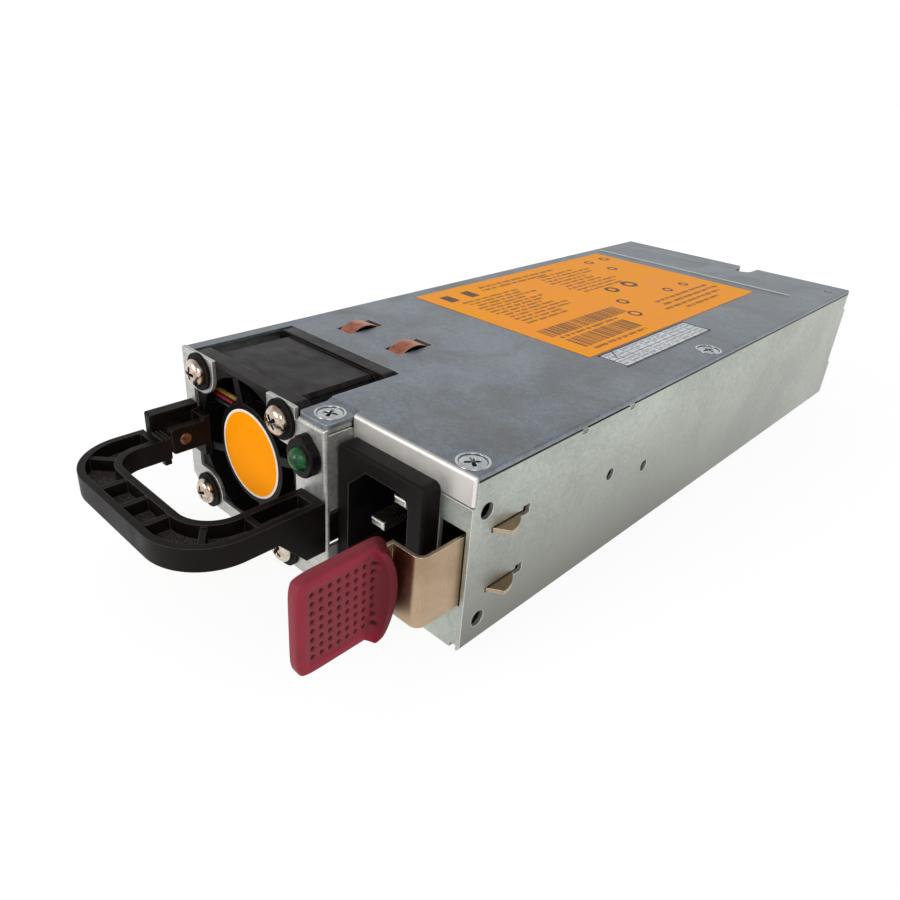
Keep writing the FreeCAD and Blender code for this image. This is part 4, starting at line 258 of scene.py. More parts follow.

# %% [markdown]
# ## Moulded plastics and rubber
# Fan, inlet, lamp holder and handle are injection moulded, in glass filled nylon or polyester. The
# mould is spark eroded, which leaves a fine grain; edges that hands touch go pale and glossy, and
# dust makes the flats uneven. One recipe does all of them: two tones mixed by a wide noise, a fine
# grain in the relief, and a paler tone on the rounded edges, which is that wear and also a painted
# edge highlight.

# %% Moulded plastic
def moulded(name, deep, base, edge, rough, grain=0.35, relief=0.03, worn_and_lit_share=1.0, wide=9.0,
            dust=None, **extra):
    """Plastic with two tones, a spark eroded grain of this size in mm and an edge tone, which is
    edge wear and, where it is paler, a painted highlight; dust is a height in mm and a tone that
    lies on flats which face up below it."""
    material, add, place = begin(name)
    fine = add("TexNoise", {"Vector": place, "Scale": 1 / grain, "Detail": 3.0})[0]
    broad = add("TexNoise", {
        "Vector": place, "Scale": 1 / wide, "Detail": 5.0, "Distortion": 0.8})[0]
    tone = add("MapRange", {"Value": broad, "From Min": 0.35, "From Max": 0.68})[0]
    colour = add("Mix", {0: tone, 6: deep, 7: base})[2]
    if dust:
        below, dusty = dust
        height = add("SeparateXYZ", {0: place})[2]
        facing = add("SeparateXYZ", {0: add("NewGeometry")["Normal"]})
        low = add("MapRange", {"Value": height, "From Min": below, "From Max": below - 0.3})[0]
        laid = add("Math", {0: low, 1: facing[2]}, operation="MULTIPLY", use_clamp=True)[0]
        speck = add("MapRange", {"Value": fine, "From Min": 0.35, "From Max": 0.75})[0]
        laid = add("Math", {0: laid, 1: speck}, operation="MULTIPLY")[0]
        colour = add("Mix", {0: laid, 6: colour, 7: dusty})[2]
    # Edge tone by the edge mask: wear, and a painted highlight where the tone is paler.
    rounded, worn_and_lit = soft_edges(add, radius=0.28)
    rub_and_light = add("Math", {0: worn_and_lit, 1: broad}, operation="MULTIPLY")[0]
    rubbed_and_lit = add("MapRange", {
        "Value": rub_and_light, "From Min": 0.05, "From Max": 0.55, "To Max": worn_and_lit_share})[0]
    colour = add("Mix", {0: rubbed_and_lit, 6: colour, 7: edge})[2]
    uneven_surface(add, colour, (broad, 0.3, 0.7, rough - 0.07, rough + 0.1),
                   (fine, 0.4, relief), rounded, **extra)
    return material


print("grain of a moulding in mm, unless given:", moulded.__defaults__[0])

# %% The mouldings
POCKET_FLOOR = 19.7                         # mm up; below it dust lies in the handle
MATT = {"Specular_IOR_Level": 0.1}          # black mouldings mirror little
handle_nylon = moulded("moulded_nylon_handle", "#0d0908", "#171110", "#5c534f", 0.42, relief=0.07,
                       worn_and_lit_share=0.8, dust=(POCKET_FLOOR, "#6e645e"), **MATT)
inlet_nylon = moulded("moulded_nylon_inlet", "#0d0a0a", "#171212", "#6a615e", 0.44, **MATT)
rotor_polyester = moulded("moulded_polyester_rotor", "#080707", "#110e0e", "#2a2624", 0.4, **MATT)
holder_nylon = moulded("moulded_nylon_lamp_holder", "#0a0808", "#151110", "#4d4643", 0.32, **MATT)
rubber = moulded("rubber_grommet", "#0b0909", "#14100f", "#2f2a27", 0.6, grain=0.5, relief=0.05,
                 **MATT)
plug_nylon = moulded("natural_nylon_plug", "#cfc8b6", "#ddd7c8", "#ece8dc", 0.5,
                     Subsurface_Weight=0.1)
film = moulded("polyester_insulating_film", "#2a2c2d", "#35383a", "#4d5052", 0.3, wide=30.0)
epoxy = moulded("moulded_epoxy_package", "#151414", "#201f1f", "#4a4746", 0.5, grain=0.25)
print("moulded finishes ready")

# %% [markdown]
# ## Black film on the fan
# The fan is let into the top of the case, and its upper side is closed with a glossy black film
# that has been handled: smears, fine scratches and a slight waviness. It is the same object as
# the frame, so the finish changes by height above the base: below the top the plain moulding,
# on top the film.

# %% Fan finish
FILM_FROM = 38.2                            # mm above the bottom
SMEAR, WAVE, FINE = 5.0, 11.0, 0.35         # mm


def filmed_fan():
    """Moulded polyester below FILM_FROM, wavy and smeared glossy film above."""
    material, add, place = begin("polyester_fan_with_film")
    height = add("SeparateXYZ", {0: place})[2]
    top = add("MapRange", {"Value": height, "From Min": FILM_FROM, "From Max": FILM_FROM + 0.3})[0]
    stretched = add("Mapping", {
        "Vector": place, "Rotation": (0, 0, 0.5), "Scale": (0.35, 1.0, 1.0)})[0]
    smear = add("TexNoise", {"Vector": stretched, "Scale": 1 / SMEAR, "Detail": 6.0,
                             "Roughness": 0.65, "Distortion": 1.5})[0]
    wave = add("TexNoise", {"Vector": place, "Scale": 1 / WAVE, "Detail": 1.0})[0]
    fine = add("TexNoise", {"Vector": place, "Scale": 1 / FINE, "Detail": 3.0})[0]
    dust = add("MapRange", {"Value": smear, "From Min": 0.42, "From Max": 0.72})[0]
    plain = add("Mix", {0: fine, 6: "#080707", 7: "#110e0d"})[2]
    filmed = add("Mix", {0: dust, 6: "#090606", 7: "#2b2424"})[2]
    colour = add("Mix", {0: top, 6: plain, 7: filmed})[2]
    # Painted edge highlight: a paler tone on the rounded edges.
    rounded, worn_and_lit = soft_edges(add, radius=0.3)
    worn_and_lit_part = add("Math", {0: worn_and_lit, 1: 0.55}, operation="MULTIPLY")[0]
    colour = add("Mix", {0: worn_and_lit_part, 6: colour, 7: "#4f4846"})[2]
    filmed_gloss = add("MapRange", {
        "Value": smear, "From Min": 0.35, "From Max": 0.7, "To Min": 0.2, "To Max": 0.5})[0]
    gloss = add("Mix", {0: top, 2: 0.45, 3: filmed_gloss}, data_type="FLOAT")[0]
    wavy = add("Math", {0: wave, 1: top}, operation="MULTIPLY")[0]
    bumped = add("Bump", {
        "Height": wavy, "Normal": rounded, "Strength": 0.5, "Distance": 1.2 * MM})[0]
    grained = add("Bump", {
        "Height": fine, "Normal": bumped, "Strength": 0.2, "Distance": 0.03 * MM})[0]
    surface(add, Base_Color=colour, Roughness=gloss, Normal=grained, Specular_IOR_Level=0.12)
    return material


fan_finish = filmed_fan()
print("film from", FILM_FROM, "mm up")

# %% [markdown]
# ## Plated and bare metals
# The fan's screws are nickel plated and the cover's zinc plated, the latch is a hardened strip
# with a tan tarnish, and the earthing fingers are beryllium copper. Bare metal shows its colour
# only in what it mirrors, so the finish is mostly roughness: fine drawing lines along one
# direction, a slight tarnish in patches, and bright edges, polished by handling and lit with a
# painted highlight. Screws get a painted shade in their cross recess. One recipe takes the two
# tones, the direction and the gloss.

# %% Metals
def metal(name, tarnish, bright, edge, rough, along=(1.0, 0.12, 1.0), line=0.3, patch=5.0,
          spread=0.1, recess_shade=None):
    """Metal with drawing lines of this width in mm, patches of tarnish and bright edges, where wear
    and a painted highlight lighten the colour; recess_shade is a painted shade, the tone where the
    mesh says, in its attribute shade, that the recess is deep."""
    material, add, place = begin(name)
    drawn = add("Mapping", {"Vector": place, "Scale": along})[0]
    lines = add("TexNoise", {"Vector": drawn, "Scale": 1 / line, "Detail": 3.0})[0]
    patches = add("TexNoise", {
        "Vector": place, "Scale": 1 / patch, "Detail": 5.0, "Distortion": 0.5})[0]
    both = add("Math", {0: lines, 1: 0.5, 2: patches}, operation="MULTIPLY_ADD")[0]
    tone = add("MapRange", {"Value": both, "From Min": 0.55, "From Max": 0.95})[0]
    colour = add("Mix", {0: tone, 6: tarnish, 7: bright})[2]
    # Painted highlight: the edge mask lightens the metal, over edge wear.
    rounded, worn_and_lit = soft_edges(add, radius=0.15)
    colour = add("Mix", {0: worn_and_lit, 6: colour, 7: edge})[2]
    # Painted shade in the screws' cross recess, darker where the attribute shade is high.
    if recess_shade:
        deep = add("Attribute", attribute_name="shade")["Fac"]
        colour = add("Mix", {0: deep, 6: colour, 7: recess_shade})[2]
    uneven_surface(add, colour, (both, 0.5, 1.0, rough, rough + spread), (lines, 0.25, 0.02),
                   rounded, Metallic=1.0)
    return material


nickel_screw = metal("nickel_plated_screw", "#a98d76", "#e3d8cb", "#f3efe9", 0.16, line=0.2,
                     patch=1.6, spread=0.14, recess_shade="#2a1d16")
zinc_screw = metal("zinc_plated_screw", "#a5aaae", "#d2d6d9", "#f0f2f3", 0.24, line=0.25,
                   patch=2.0, recess_shade="#454b50")
black_steel = metal("blackened_steel_rivet", "#1e1b1a", "#2f2b29", "#4a4542", 0.45)
spring_steel = metal("tarnished_spring_steel", "#a28a6f", "#bda68a", "#f5ebdf", 0.28,
                     along=(1.0, 1.0, 0.2), line=0.2, patch=9.0, spread=0.12)
finger_copper = metal("beryllium_copper", "#96523f", "#cf8a70", "#f0c9b8", 0.3, patch=3.0)
rivet_copper = metal("copper_pin", "#5d4438", "#a27e6b", "#d1b3a2", 0.35, patch=0.9)
blade_nickel = metal("nickel_plated_blade", "#b5b1a8", "#dedbd3", "#f6f5f1", 0.24)
gold = metal("gold_flashed_contact", "#b98c3a", "#e2bb64", "#f2dca2", 0.22)
ground_steel = metal("ground_steel", "#8c8c8b", "#bcbcba", "#e0e0de", 0.18, along=(1.0, 4.0, 1.0))
copper_bar = metal("copper_bus_bar", "#a8633f", "#cf8a62", "#eab698", 0.26)
aluminium = metal("extruded_aluminium", "#8f9193", "#bfc1c2", "#e4e5e6", 0.34, line=0.5)
print("metals:", len(bpy.data.materials), "finishes so far")

# %% [markdown]
# ## Inside: boards, cores, windings and cans
# Little of the inside shows, through the vents, the fan and the notch, but each part still has the
# finish of its own material: solder mask over copper tracks, enamelled wire wound in turns,
# stacked steel sheets, sintered ferrite, shrink sleeves. Where turns or sheets repeat, a band
# pattern follows their real spacing; its scale is 0.314 divided by the spacing, because one band
# of that pattern is 2 pi / 20 long.

# %% Banded and patterned finishes
BAND = 2 * math.pi / 20
TARNISH, TRACK_AREA, WEAVE = 4.0, 4.5, 0.5      # mm


def banded(name, groove, crest, spacing, direction, rough, metallic, relief=0.1):
    """Turns or sheets side by side: dark grooves and bright crests at this spacing in mm."""
    material, add, place = begin(name)
    bands = add("TexWave", {"Vector": place, "Scale": BAND / spacing, "Distortion": 0.4,
                            "Detail": 2.0}, bands_direction=direction)[1]
    stain = add("TexNoise", {"Vector": place, "Scale": 1 / TARNISH, "Detail": 4.0})[0]
    mixed = add("Math", {0: stain, 1: 0.4, 2: bands}, operation="MULTIPLY_ADD")[0]
    tone = add("MapRange", {"Value": mixed, "From Min": 0.15, "From Max": 1.1})[0]
    colour = add("Mix", {0: tone, 6: groove, 7: crest})[2]
    uneven_surface(add, colour, (stain, 0.3, 0.7, rough - 0.05, rough + 0.12),
                   (bands, 0.5, relief), Metallic=metallic)
    return material


def solder_mask():
    """Green laminate: wide copper areas and tracks show paler through the mask."""
    material, add, place = begin("solder_masked_laminate")
    edges = add("TexVoronoi", {
        "Vector": place, "Scale": 1 / TRACK_AREA}, feature="DISTANCE_TO_EDGE")[0]
    track = add("MapRange", {"Value": edges, "From Min": 0.05, "From Max": 0.09})[0]
    weave = add("TexNoise", {"Vector": place, "Scale": 1 / WEAVE, "Detail": 3.0})[0]
    green = add("Mix", {0: weave, 6: "#123a22", 7: "#1f5a35"})[2]
    colour = add("Mix", {0: track, 6: "#2f7a4a", 7: green})[2]
    bump = add("Bump", {"Height": track, "Strength": 0.4, "Distance": 0.04 * MM})[0]
    surface(add, Base_Color=colour, Roughness=0.3, Normal=bump)
    return material


print("one band in the pattern's own length:", round(BAND, 3))

# %% Finishes of the inner parts
rest_of_slots = {
    "magnet": moulded("bonded_ferrite_magnet", "#2a2523", "#3b3431", "#5c544f", 0.55),
    "lamination": banded("silicon_steel_stack", "#3f4043", "#8d8f93", 0.5, "Y", 0.4, 0.9),
    "coil_copper": banded("enamelled_fan_wire", "#6e2f17", "#c87446", 0.35, "Y", 0.25, 0.8),
    "winding_copper": banded("enamelled_choke_wire", "#7a3517", "#d4804a", 1.1, "X", 0.22, 0.8),
    "tape_yellow": banded("polyester_winding_tape", "#b98f1c", "#dcb53a", 3.0, "Z", 0.35, 0.0),
    "core_ferrite": moulded("epoxy_coated_ring_core", "#27432f", "#35593f", "#55785e", 0.4),
    "ferrite_grey": moulded("sintered_ferrite", "#2b2c2e", "#3d3e41", "#5a5b5f", 0.6, grain=0.25),
    "box_plastic": moulded("polypropylene_capacitor_box", "#b78d22", "#cda435", "#e3c56c", 0.36),
    "fuse_ceramic": moulded("glazed_ceramic_tube", "#cfc8ba", "#ddd7ca", "#eeeae0", 0.18),
    "can_sleeve": moulded("shrink_sleeve_can", "#1c2438", "#2a3550", "#59627a", 0.3, wide=14.0),
    "mains_sleeve": moulded("silicone_wire_sleeve", "#5c3320", "#744530", "#966650", 0.5,
                            grain=0.5),
    "package_plastic": epoxy,
    "insulator_film": film,
    "board_laminate": solder_mask(),
}
print("inner finishes:", len(rest_of_slots))

# %% [markdown]
# ## Wires, lamp and hub label
# The wires have a PVC skin that shines along its length and is faintly uneven. The status lamp is
# a green tinted dome, mottled by the frosted core under its clear skin. The hub label is orange
# paper with a white rim, so its colour depends on the distance from the fan's axis.

# %% Wires and hub label
def skin(name, deep, base):
    """PVC insulation: a smooth skin in two close tones, a little glossier than its base."""
    return moulded(name, deep, base, base, 0.3, grain=0.8, relief=0.02, wide=2.2, Coat_Weight=0.2)


hub_low, hub_high = box_mm("fan_hub_label")
HUB_AXIS, HUB_RADIUS = (hub_low + hub_high) / 2, (hub_high[0] - hub_low[0]) / 2
RIM_STARTS, RIM_FULL = 0.65, 0.5            # mm inside the edge
FIBRE, HANDLING, MOTTLE = 0.6, 5.0, 0.9     # mm


def rimmed_label():
    """Orange inside and white near the edge, from the distance to the fan's axis."""
    material, add, place = begin("coated_paper_hub_label")
    flat = add("VectorMath", {0: place, 1: (1.0, 0.0, 1.0)}, operation="MULTIPLY")[0]
    radius = add("VectorMath", {
        0: flat, 1: (HUB_AXIS[0], 0.0, HUB_AXIS[2])}, operation="DISTANCE")["Value"]
    rim = add("MapRange", {"Value": radius, "From Min": HUB_RADIUS - RIM_STARTS,
                           "From Max": HUB_RADIUS - RIM_FULL})[0]
    fibre = add("TexNoise", {"Vector": place, "Scale": 1 / FIBRE, "Detail": 4.0})[0]
    worn_and_lit = add("TexNoise", {"Vector": place, "Scale": 1 / HANDLING, "Detail": 4.0})[0]
    orange = add("Mix", {0: worn_and_lit, 6: "#f99300", 7: "#fe9e02"})[2]
    white = add("Mix", {0: worn_and_lit, 6: "#d9cdc0", 7: "#fbf6ee"})[2]
    colour = add("Mix", {0: rim, 6: orange, 7: white})[2]
    bump = add("Bump", {"Height": fibre, "Strength": 0.2, "Distance": 0.02 * MM})[0]
    surface(add, Base_Color=colour, Roughness=0.6, Normal=bump, Specular_IOR_Level=0.05)
    return material


print("hub label radius in mm:", round(HUB_RADIUS, 2))

# %% Lamp and label stock
def tinted_lens():
    """Green moulded dome: a frosted, mottled core under a clear glossy skin."""
    material, add, place = begin("tinted_acrylic_lens")
    mottle = add("TexNoise", {
        "Vector": place, "Scale": 1 / MOTTLE, "Detail": 5.0, "Roughness": 0.7})[0]
    tone = add("MapRange", {"Value": mottle, "From Min": 0.38, "From Max": 0.66})[0]
    colour = add("Mix", {0: tone, 6: "#052611", 7: "#166530"})[2]
    bump = add("Bump", {"Height": mottle, "Strength": 0.25, "Distance": 0.12 * MM})[0]
    surface(add, Base_Color=colour, Roughness=0.3, Normal=bump, Specular_IOR_Level=0.3,
            Coat_Weight=0.12, Coat_Roughness=0.1, Subsurface_Weight=0.08,
            Subsurface_Scale=1.0 * MM)
    return material


def label_stock(name, deep, base, edge):
    """Printed polyester label stock: even colour, faint fibre and a slightly dirty edge."""
    return moulded(name, deep, base, edge, 0.45, grain=0.4, relief=0.01, wide=16.0, worn_and_lit_share=0.5,
                   Specular_IOR_Level=0.08)


print("lamp mottle:", MOTTLE, "mm")

# %% [markdown]
# ## A finish for every node
# The record names the slot of each CAD node, so one table from slot to finish covers them all.
# Only the latch rivets differ from their slot: they are blackened.

# %% Every node gets its finish
finish_of_slot = {
    "tray_steel": tray_zinc, "cover_steel": cover_zinc, "bracket_steel": bracket_zinc,
    "screw_steel": zinc_screw, "fan_plastic": fan_finish, "rotor_plastic": rotor_polyester,
    "shaft_steel": ground_steel, "hub_paper": rimmed_label(), "rubber_black": rubber,
    "plug_plastic": plug_nylon, "lead_yellow": skin("pvc_lead_yellow", "#6b5524", "#9a7830"),
    "lead_black": skin("pvc_lead_black", "#131212", "#232020"),
    "lead_red": skin("pvc_lead_red", "#4d0e18", "#8a1d30"), "lamp_plastic": tinted_lens(),
    "holder_plastic": holder_nylon, "handle_plastic": handle_nylon, "pin_copper": rivet_copper,
    "inlet_plastic": inlet_nylon, "blade_nickel": blade_nickel, "latch_steel": spring_steel,
    "finger_copper": finger_copper, "contact_gold": gold, "sink_aluminium": aluminium,
    "bar_copper": copper_bar, "grip_plastic": handle_nylon,
    "label_orange": label_stock("printed_label_orange", "#ff9c10", "#ffa61a", "#b8751f"),
    "label_white": label_stock("printed_label_white", "#ccd0d6", "#dfe2e6", "#6d6660"),
    **rest_of_slots,
}
finish_of_node = {"latch_rivets": black_steel}
for name, obj in nodes.items():
    obj.data.materials.clear()
    obj.data.materials.append(finish_of_node.get(name, finish_of_slot[slot_of[name]]))
print(len(nodes), "nodes finished with", len(bpy.data.materials), "materials")

# %% [markdown]
# ## From arrays to a piece
# Every new piece is a surface worked out as a grid of points. `grid_faces` joins the grid's
# neighbours with quads, and `piece` puts points and quads into a mesh, merges the points that meet
# at poles and seams, turns the faces outwards, and keeps creases sharper than 35 degrees.

# %% Mesh helpers
def grid_faces(rows, columns, around=False, start=0):
    """Quads from point (i, j) to (i, j + 1), (i + 1, j + 1) and (i + 1, j); around closes j."""
    last = columns if around else columns - 1
    i, j = np.meshgrid(np.arange(rows - 1), np.arange(last), indexing="ij")
    k = (j + 1) % columns
    quads = np.stack([i * columns + j, i * columns + k, (i + 1) * columns + k,
                      (i + 1) * columns + j], axis=-1)
    return quads.reshape(-1, 4) + start


def piece(name, points, faces, material, body, slot, stands_for=(), shade=None):
    """A mesh object from points in mm and quads, riding on a body and taking the finish given;
    slot is not used; shade is a number for each point that the finish may read."""
    mesh = bpy.data.meshes.new(name)
    mesh.from_pydata((np.asarray(points) * MM).tolist(), [], np.asarray(faces).tolist())
    if shade is not None:
        mesh.attributes.new("shade", "FLOAT", "POINT").data.foreach_set("value", np.ravel(shade))
    work = bmesh.new()
    work.from_mesh(mesh)
    bmesh.ops.remove_doubles(work, verts=work.verts, dist=1e-7)
    bmesh.ops.recalc_face_normals(work, faces=work.faces)
    work.to_mesh(mesh)
    work.free()
    mesh.shade_smooth()
    mesh.set_sharp_from_angle(angle=math.radians(35))
    mesh.materials.append(material)
    made = bpy.data.objects.new(name, mesh)
    bpy.context.collection.objects.link(made)
    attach(made, body)
    if stands_for:
        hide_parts(*stands_for)
    print(name, len(mesh.polygons), "faces")
    return made


def joined(parts):
    """Several (points, faces) as one, each one's faces counted on from the points before it."""
    starts = np.cumsum([0] + [len(points) for points, _ in parts[:-1]])
    return (np.concatenate([points for points, _ in parts]),
            np.concatenate([faces + start for (_, faces), start in zip(parts, starts)]))


print("quads in a grid of 3 by 3 points:", len(grid_faces(3, 3)))

# %% [markdown]
# ## Screws with a cross recess
# A screw is a profile turned round its axis, so radius and height are functions of one parameter
# and the angle is the other. Two things break the symmetry: the cross recess, whose four arms run
# out to their ends, and the thread, whose radius falls and rises with height plus angle. The
# columns of the grid are not evenly spaced: near the recess they follow the arms' sides, so
# the arms stay crisp with few faces.

# %% Screw surfaces
ARM_LENGTH, ARM_HALF, ARM_DEEP = 1.75, 0.36, 1.15       # mm, cross recess
ARM_SLOPE, ARM_TAPER = 0.28, 0.42                       # shares of the arm's length and depth
THREAD_DEEP = 0.22                                      # mm
SHARES = np.array([0.0, 0.5, 1.0, 1.35, 1.8, 2.25, 2.6, 3.0])
HALF = np.concatenate([-SHARES[:0:-1], SHARES[:-1]])    # a quarter's shares, both sides of an arm


def column_angles(radius):
    """Angle of every column at a radius: share 1 lies on the arm's side,
    asin(half width / radius), share 1.35 just outside it, and share 3 half way to the next arm."""
    side = np.arcsin(np.minimum(ARM_HALF / np.maximum(radius, 1e-6), 0.6))[:, None]
    wall = np.minimum(side * 1.28, 0.7)
    size = np.abs(HALF)[None, :]
    angle = np.where(size <= 1, side * size,
                     np.where(size <= 1.35, side + (wall - side) * (size - 1) / 0.35,
                              wall + (math.pi / 4 - wall) * (size - 1.35) / 1.65))
    quarter = angle * np.sign(HALF)
    return np.concatenate([quarter + k * math.pi / 2 for k in range(4)], axis=1)


def screw_surface(head_radius, head_rise, head_edge, base, cone, length, shank, pitch, turn):
    """Grid of (a, b, h): a dome h = edge + rise (1 - (r/R)^2.6)^0.5 less the recess, then the rim
    at base, a cone, a thread r = shank - depth |saw(h / pitch + angle / 2 pi)|, and a flat tip."""
    inner = np.array([0.0, 0.25, 0.5, 0.75, 1.0, 1.25, 1.45, 1.6, 1.7, 1.76, 1.85])
    outer = head_radius * np.sin(np.linspace(math.asin(1.98 / head_radius), math.pi / 2, 12))
    dome = np.concatenate([inner, outer])
    dome_h = head_edge + head_rise * np.sqrt(np.maximum(1 - (dome / head_radius) ** 2.6, 0))
    stem = np.linspace(-cone, -length, int(8 * (length - cone) / pitch))
    radius = np.concatenate([dome, [head_radius, shank], np.full(len(stem), shank), [0.0]])
    height = np.concatenate([dome_h, [base, -cone], stem, [-length]])
    order = np.arange(len(radius))[:, None]
    angle = column_angles(radius) + turn
    share = np.tile(np.abs(HALF), 4)[None, :]
    reach = np.minimum(radius / ARM_LENGTH, 1)[:, None]
    arm = ARM_DEEP * np.clip((1 - reach) / ARM_SLOPE, 0, 1) * (1 - ARM_TAPER * reach)
    cut = np.where((share <= 1) | (radius[:, None] < 0.3), arm, 0.0) * (order < len(dome))
    saw = np.abs(2 * ((height[:, None] / pitch + angle / (2 * math.pi)) % 1) - 1)
    threaded = (order > len(dome) + 1) & (radius[:, None] > 0)
    radial = radius[:, None] - np.where(threaded, THREAD_DEEP * saw, 0.0)
    grid = np.stack([radial * np.cos(angle), radial * np.sin(angle), height[:, None] - cut],
                    axis=-1)
    # The second grid is a painted shade for the recess, 1 where it is cut 0.25 mm deep or more.
    return grid, np.clip(cut / 0.25, 0, 1)


print("columns round a screw:", 4 * len(HALF))

# %% Four pan head screws
screw_low, screw_high = box_mm("fan_screws")
HEAD_RADIUS, HEAD_HEIGHT = 3.25, 2.2
seat_y = screw_low[1] + HEAD_HEIGHT
corners = [(x, z) for z in (screw_low[2] + HEAD_RADIUS, screw_high[2] - HEAD_RADIUS)
           for x in (screw_low[0] + HEAD_RADIUS, screw_high[0] - HEAD_RADIUS)]
pan_screws, pan_shades = [], []
for number, (x, z) in enumerate(corners):
    grid, shade = screw_surface(HEAD_RADIUS, head_rise=1.55, head_edge=0.65, base=0.0, cone=0.02,
                                length=screw_high[1] - seat_y, shank=1.5, pitch=1.3,
                                turn=0.35 + 0.6 * number)
    pan_shades.append(shade.ravel())
    local = grid.reshape(-1, 3)
    placed = np.stack([x + local[:, 0], seat_y - local[:, 2], z + local[:, 1]], axis=-1)
    pan_screws.append((placed, grid_faces(*grid.shape[:2], around=True)))
piece("fan_screws_pan_head", *joined(pan_screws), nickel_screw, "base", "screw_steel",
      ["fan_screws"], np.concatenate(pan_shades))

# %% [markdown]
# ## Countersunk screws and their stamped rings
# Three flat head screws hold the cover, two at its right edge and one in the tongue over the lamp
# column. Each sits in a dished ring stamped into the sheet, whose lip stands a little proud and
# mirrors the light; the ring's brighter zinc is a painted highlight. The ring is an ellipse turned
# round the screw's axis. The places come from the CAD screws: their points fall into three groups
# along the case.

# %% Countersunk screws
screw_points = np.array([v.co for v in nodes["cover_screws"].data.vertices]) / MM
GROUPS = ((-200.0, -97.1), (-97.1, -50.0), (-50.0, 50.0))       # mm along the case
FLAT_RADIUS = 2.66                                              # mm
RING_RADIUS, RING_WIDE, RING_TALL, RING_RISE = 3.08, 0.27, 0.16, 0.02   # mm
flat_screws, flat_shades, rings = [], [], []
for number, (start, end) in enumerate(GROUPS):
    group = screw_points[(screw_points[:, 1] > start) & (screw_points[:, 1] < end)]
    low, high = group.min(axis=0), group.max(axis=0)
    middle = (low + high) / 2
    grid, shade = screw_surface(FLAT_RADIUS, head_rise=0.1, head_edge=-0.14, base=-0.22, cone=1.0,
                                length=high[2] - low[2], shank=1.28, pitch=0.5,
                                turn=0.5 + 0.4 * number)
    flat_shades.append(shade.ravel())
    local = grid.reshape(-1, 3)
    flat_screws.append((local + [middle[0], middle[1], high[2]],
                        grid_faces(*grid.shape[:2], around=True)))
    turn, round_ = np.meshgrid(np.linspace(0, 2 * math.pi, 72, endpoint=False),
                               np.linspace(0, 2 * math.pi, 14), indexing="ij")
    out = RING_RADIUS + RING_WIDE * np.cos(round_)
    lip = np.stack([middle[0] + out * np.cos(turn), middle[1] + out * np.sin(turn),
                    high[2] + RING_RISE + RING_TALL * np.sin(round_)], axis=-1)
    lip = np.concatenate([lip, lip[:1]])
    rings.append((lip.reshape(-1, 3), grid_faces(*lip.shape[:2])))
piece("cover_screws_flat_head", *joined(flat_screws), zinc_screw, "base", "screw_steel",
      ["cover_screws"], np.concatenate(flat_shades))
# Painted highlight: the ring's zinc is brighter than the cover's.
ring_highlight_zinc = metal("zinc_ring_painted_highlight", "#a9aeb3", "#dfe3e6", "#f4f6f7", 0.2, patch=1.5)
piece("cover_screw_rings", *joined(rings), ring_highlight_zinc, "base", "cover_steel")

# %% [markdown]
# ## Release grip
# The grip is a maroon moulding over the front end of the latch strip. Its outer face is a shallow
# dish with a border, eight by eight small pits for the thumb, and a curved rim that stands up at
# the rear. Modelling it by hand would take many cuts. Here both faces are heights over one grid:
# the distance to the nearest edge gives the rounding, the border and the dish, and a pit is a
# hollow that repeats with the pitch.

# %% Grip sizes
grip_low, grip_high = box_mm("latch_grip")
GRIP_FACE, GRIP_BACK = 35.8, grip_low[0]
GRIP_SHAPE = (191, 167)             # points along and across
CORNER = 0.075                      # share by which the corners are drawn in
ROUND = 0.8                         # edge radius; this and the rest in mm
PIT_PITCH, PIT_FIRST_Y, PIT_FIRST_Z, PITS = 1.895, -127.6, 12.6, 8
PIT_RADIUS, PIT_DEEP = 0.42, 0.45
FACE_REAR, FACE_BULGE, BACK_BULGE = -110.0, 3.0, 2.4
DISH_DEEP, BORDER_RISE, BORDER_WIDE, BORDER_FADE = 0.5, 0.35, 3.0, 1.4
RIM_RISE, RIM_WIDE, RIM_FADE = 2.4, 4.3, 2.0
HOLLOW_DEEP, HOLLOW_FROM, HOLLOW_FADE = 0.5, 2.0, 1.2       # in the back
REAR_SHADE_FROM, FRONT_HIGHLIGHT_FROM = -113.0, -117.0     # the colour changes between these places
print("grip box in mm:", np.round(grip_low, 1), np.round(grip_high, 1))

# %% Grip shape functions
def nearest(*gaps, soft=0.3):
    """Smooth minimum of several gaps: -k log(sum(exp(-gap / k)))."""
    return np.maximum(-soft * np.log(sum(np.exp(-gap / soft) for gap in gaps)), 0)


def step(value):
    """3 v^2 - 2 v^3 between 0 and 1."""
    value = np.clip(value, 0, 1)
    return value * value * (3 - 2 * value)


def grip_outline(rear, bulge):
    """Places y, z and the gaps to the front, the sides and the rear, for s and t from -1 to 1:
    y = middle + half s (1 - c t^8) - bulge t^2 ((s + 1) / 2)^3, z likewise without the bulge."""
    u, v = (np.linspace(-1, 1, count) for count in GRIP_SHAPE)
    s = (u + 0.2 * np.sin(math.pi * u))[:, None]
    t = (v + 0.2 * np.sin(math.pi * v))[None, :]
    half_y, half_z = (rear - grip_low[1]) / 2, (grip_high[2] - grip_low[2]) / 2
    narrow, short = 1 - CORNER * s ** 8, 1 - CORNER * t ** 8
    y = grip_low[1] + half_y + half_y * s * short - bulge * t ** 2 * ((s + 1) / 2) ** 3
    z = (grip_low[2] + grip_high[2]) / 2 + half_z * t * narrow
    front = half_y * (1 + s) + 0 * t
    behind = half_y * (1 - s) * (1 - bulge * t ** 2 / (2 * half_y)) + 0 * t
    side = half_z * (1 - np.abs(t)) + 0 * s
    return y, z, front, behind, side


def edge_drop(gap):
    """Quarter round at an edge: r - (r^2 - (r - gap)^2)^0.5 within r of it."""
    inside = ROUND - np.minimum(gap, ROUND)
    return ROUND - np.sqrt(np.maximum(ROUND ** 2 - inside ** 2, 0))


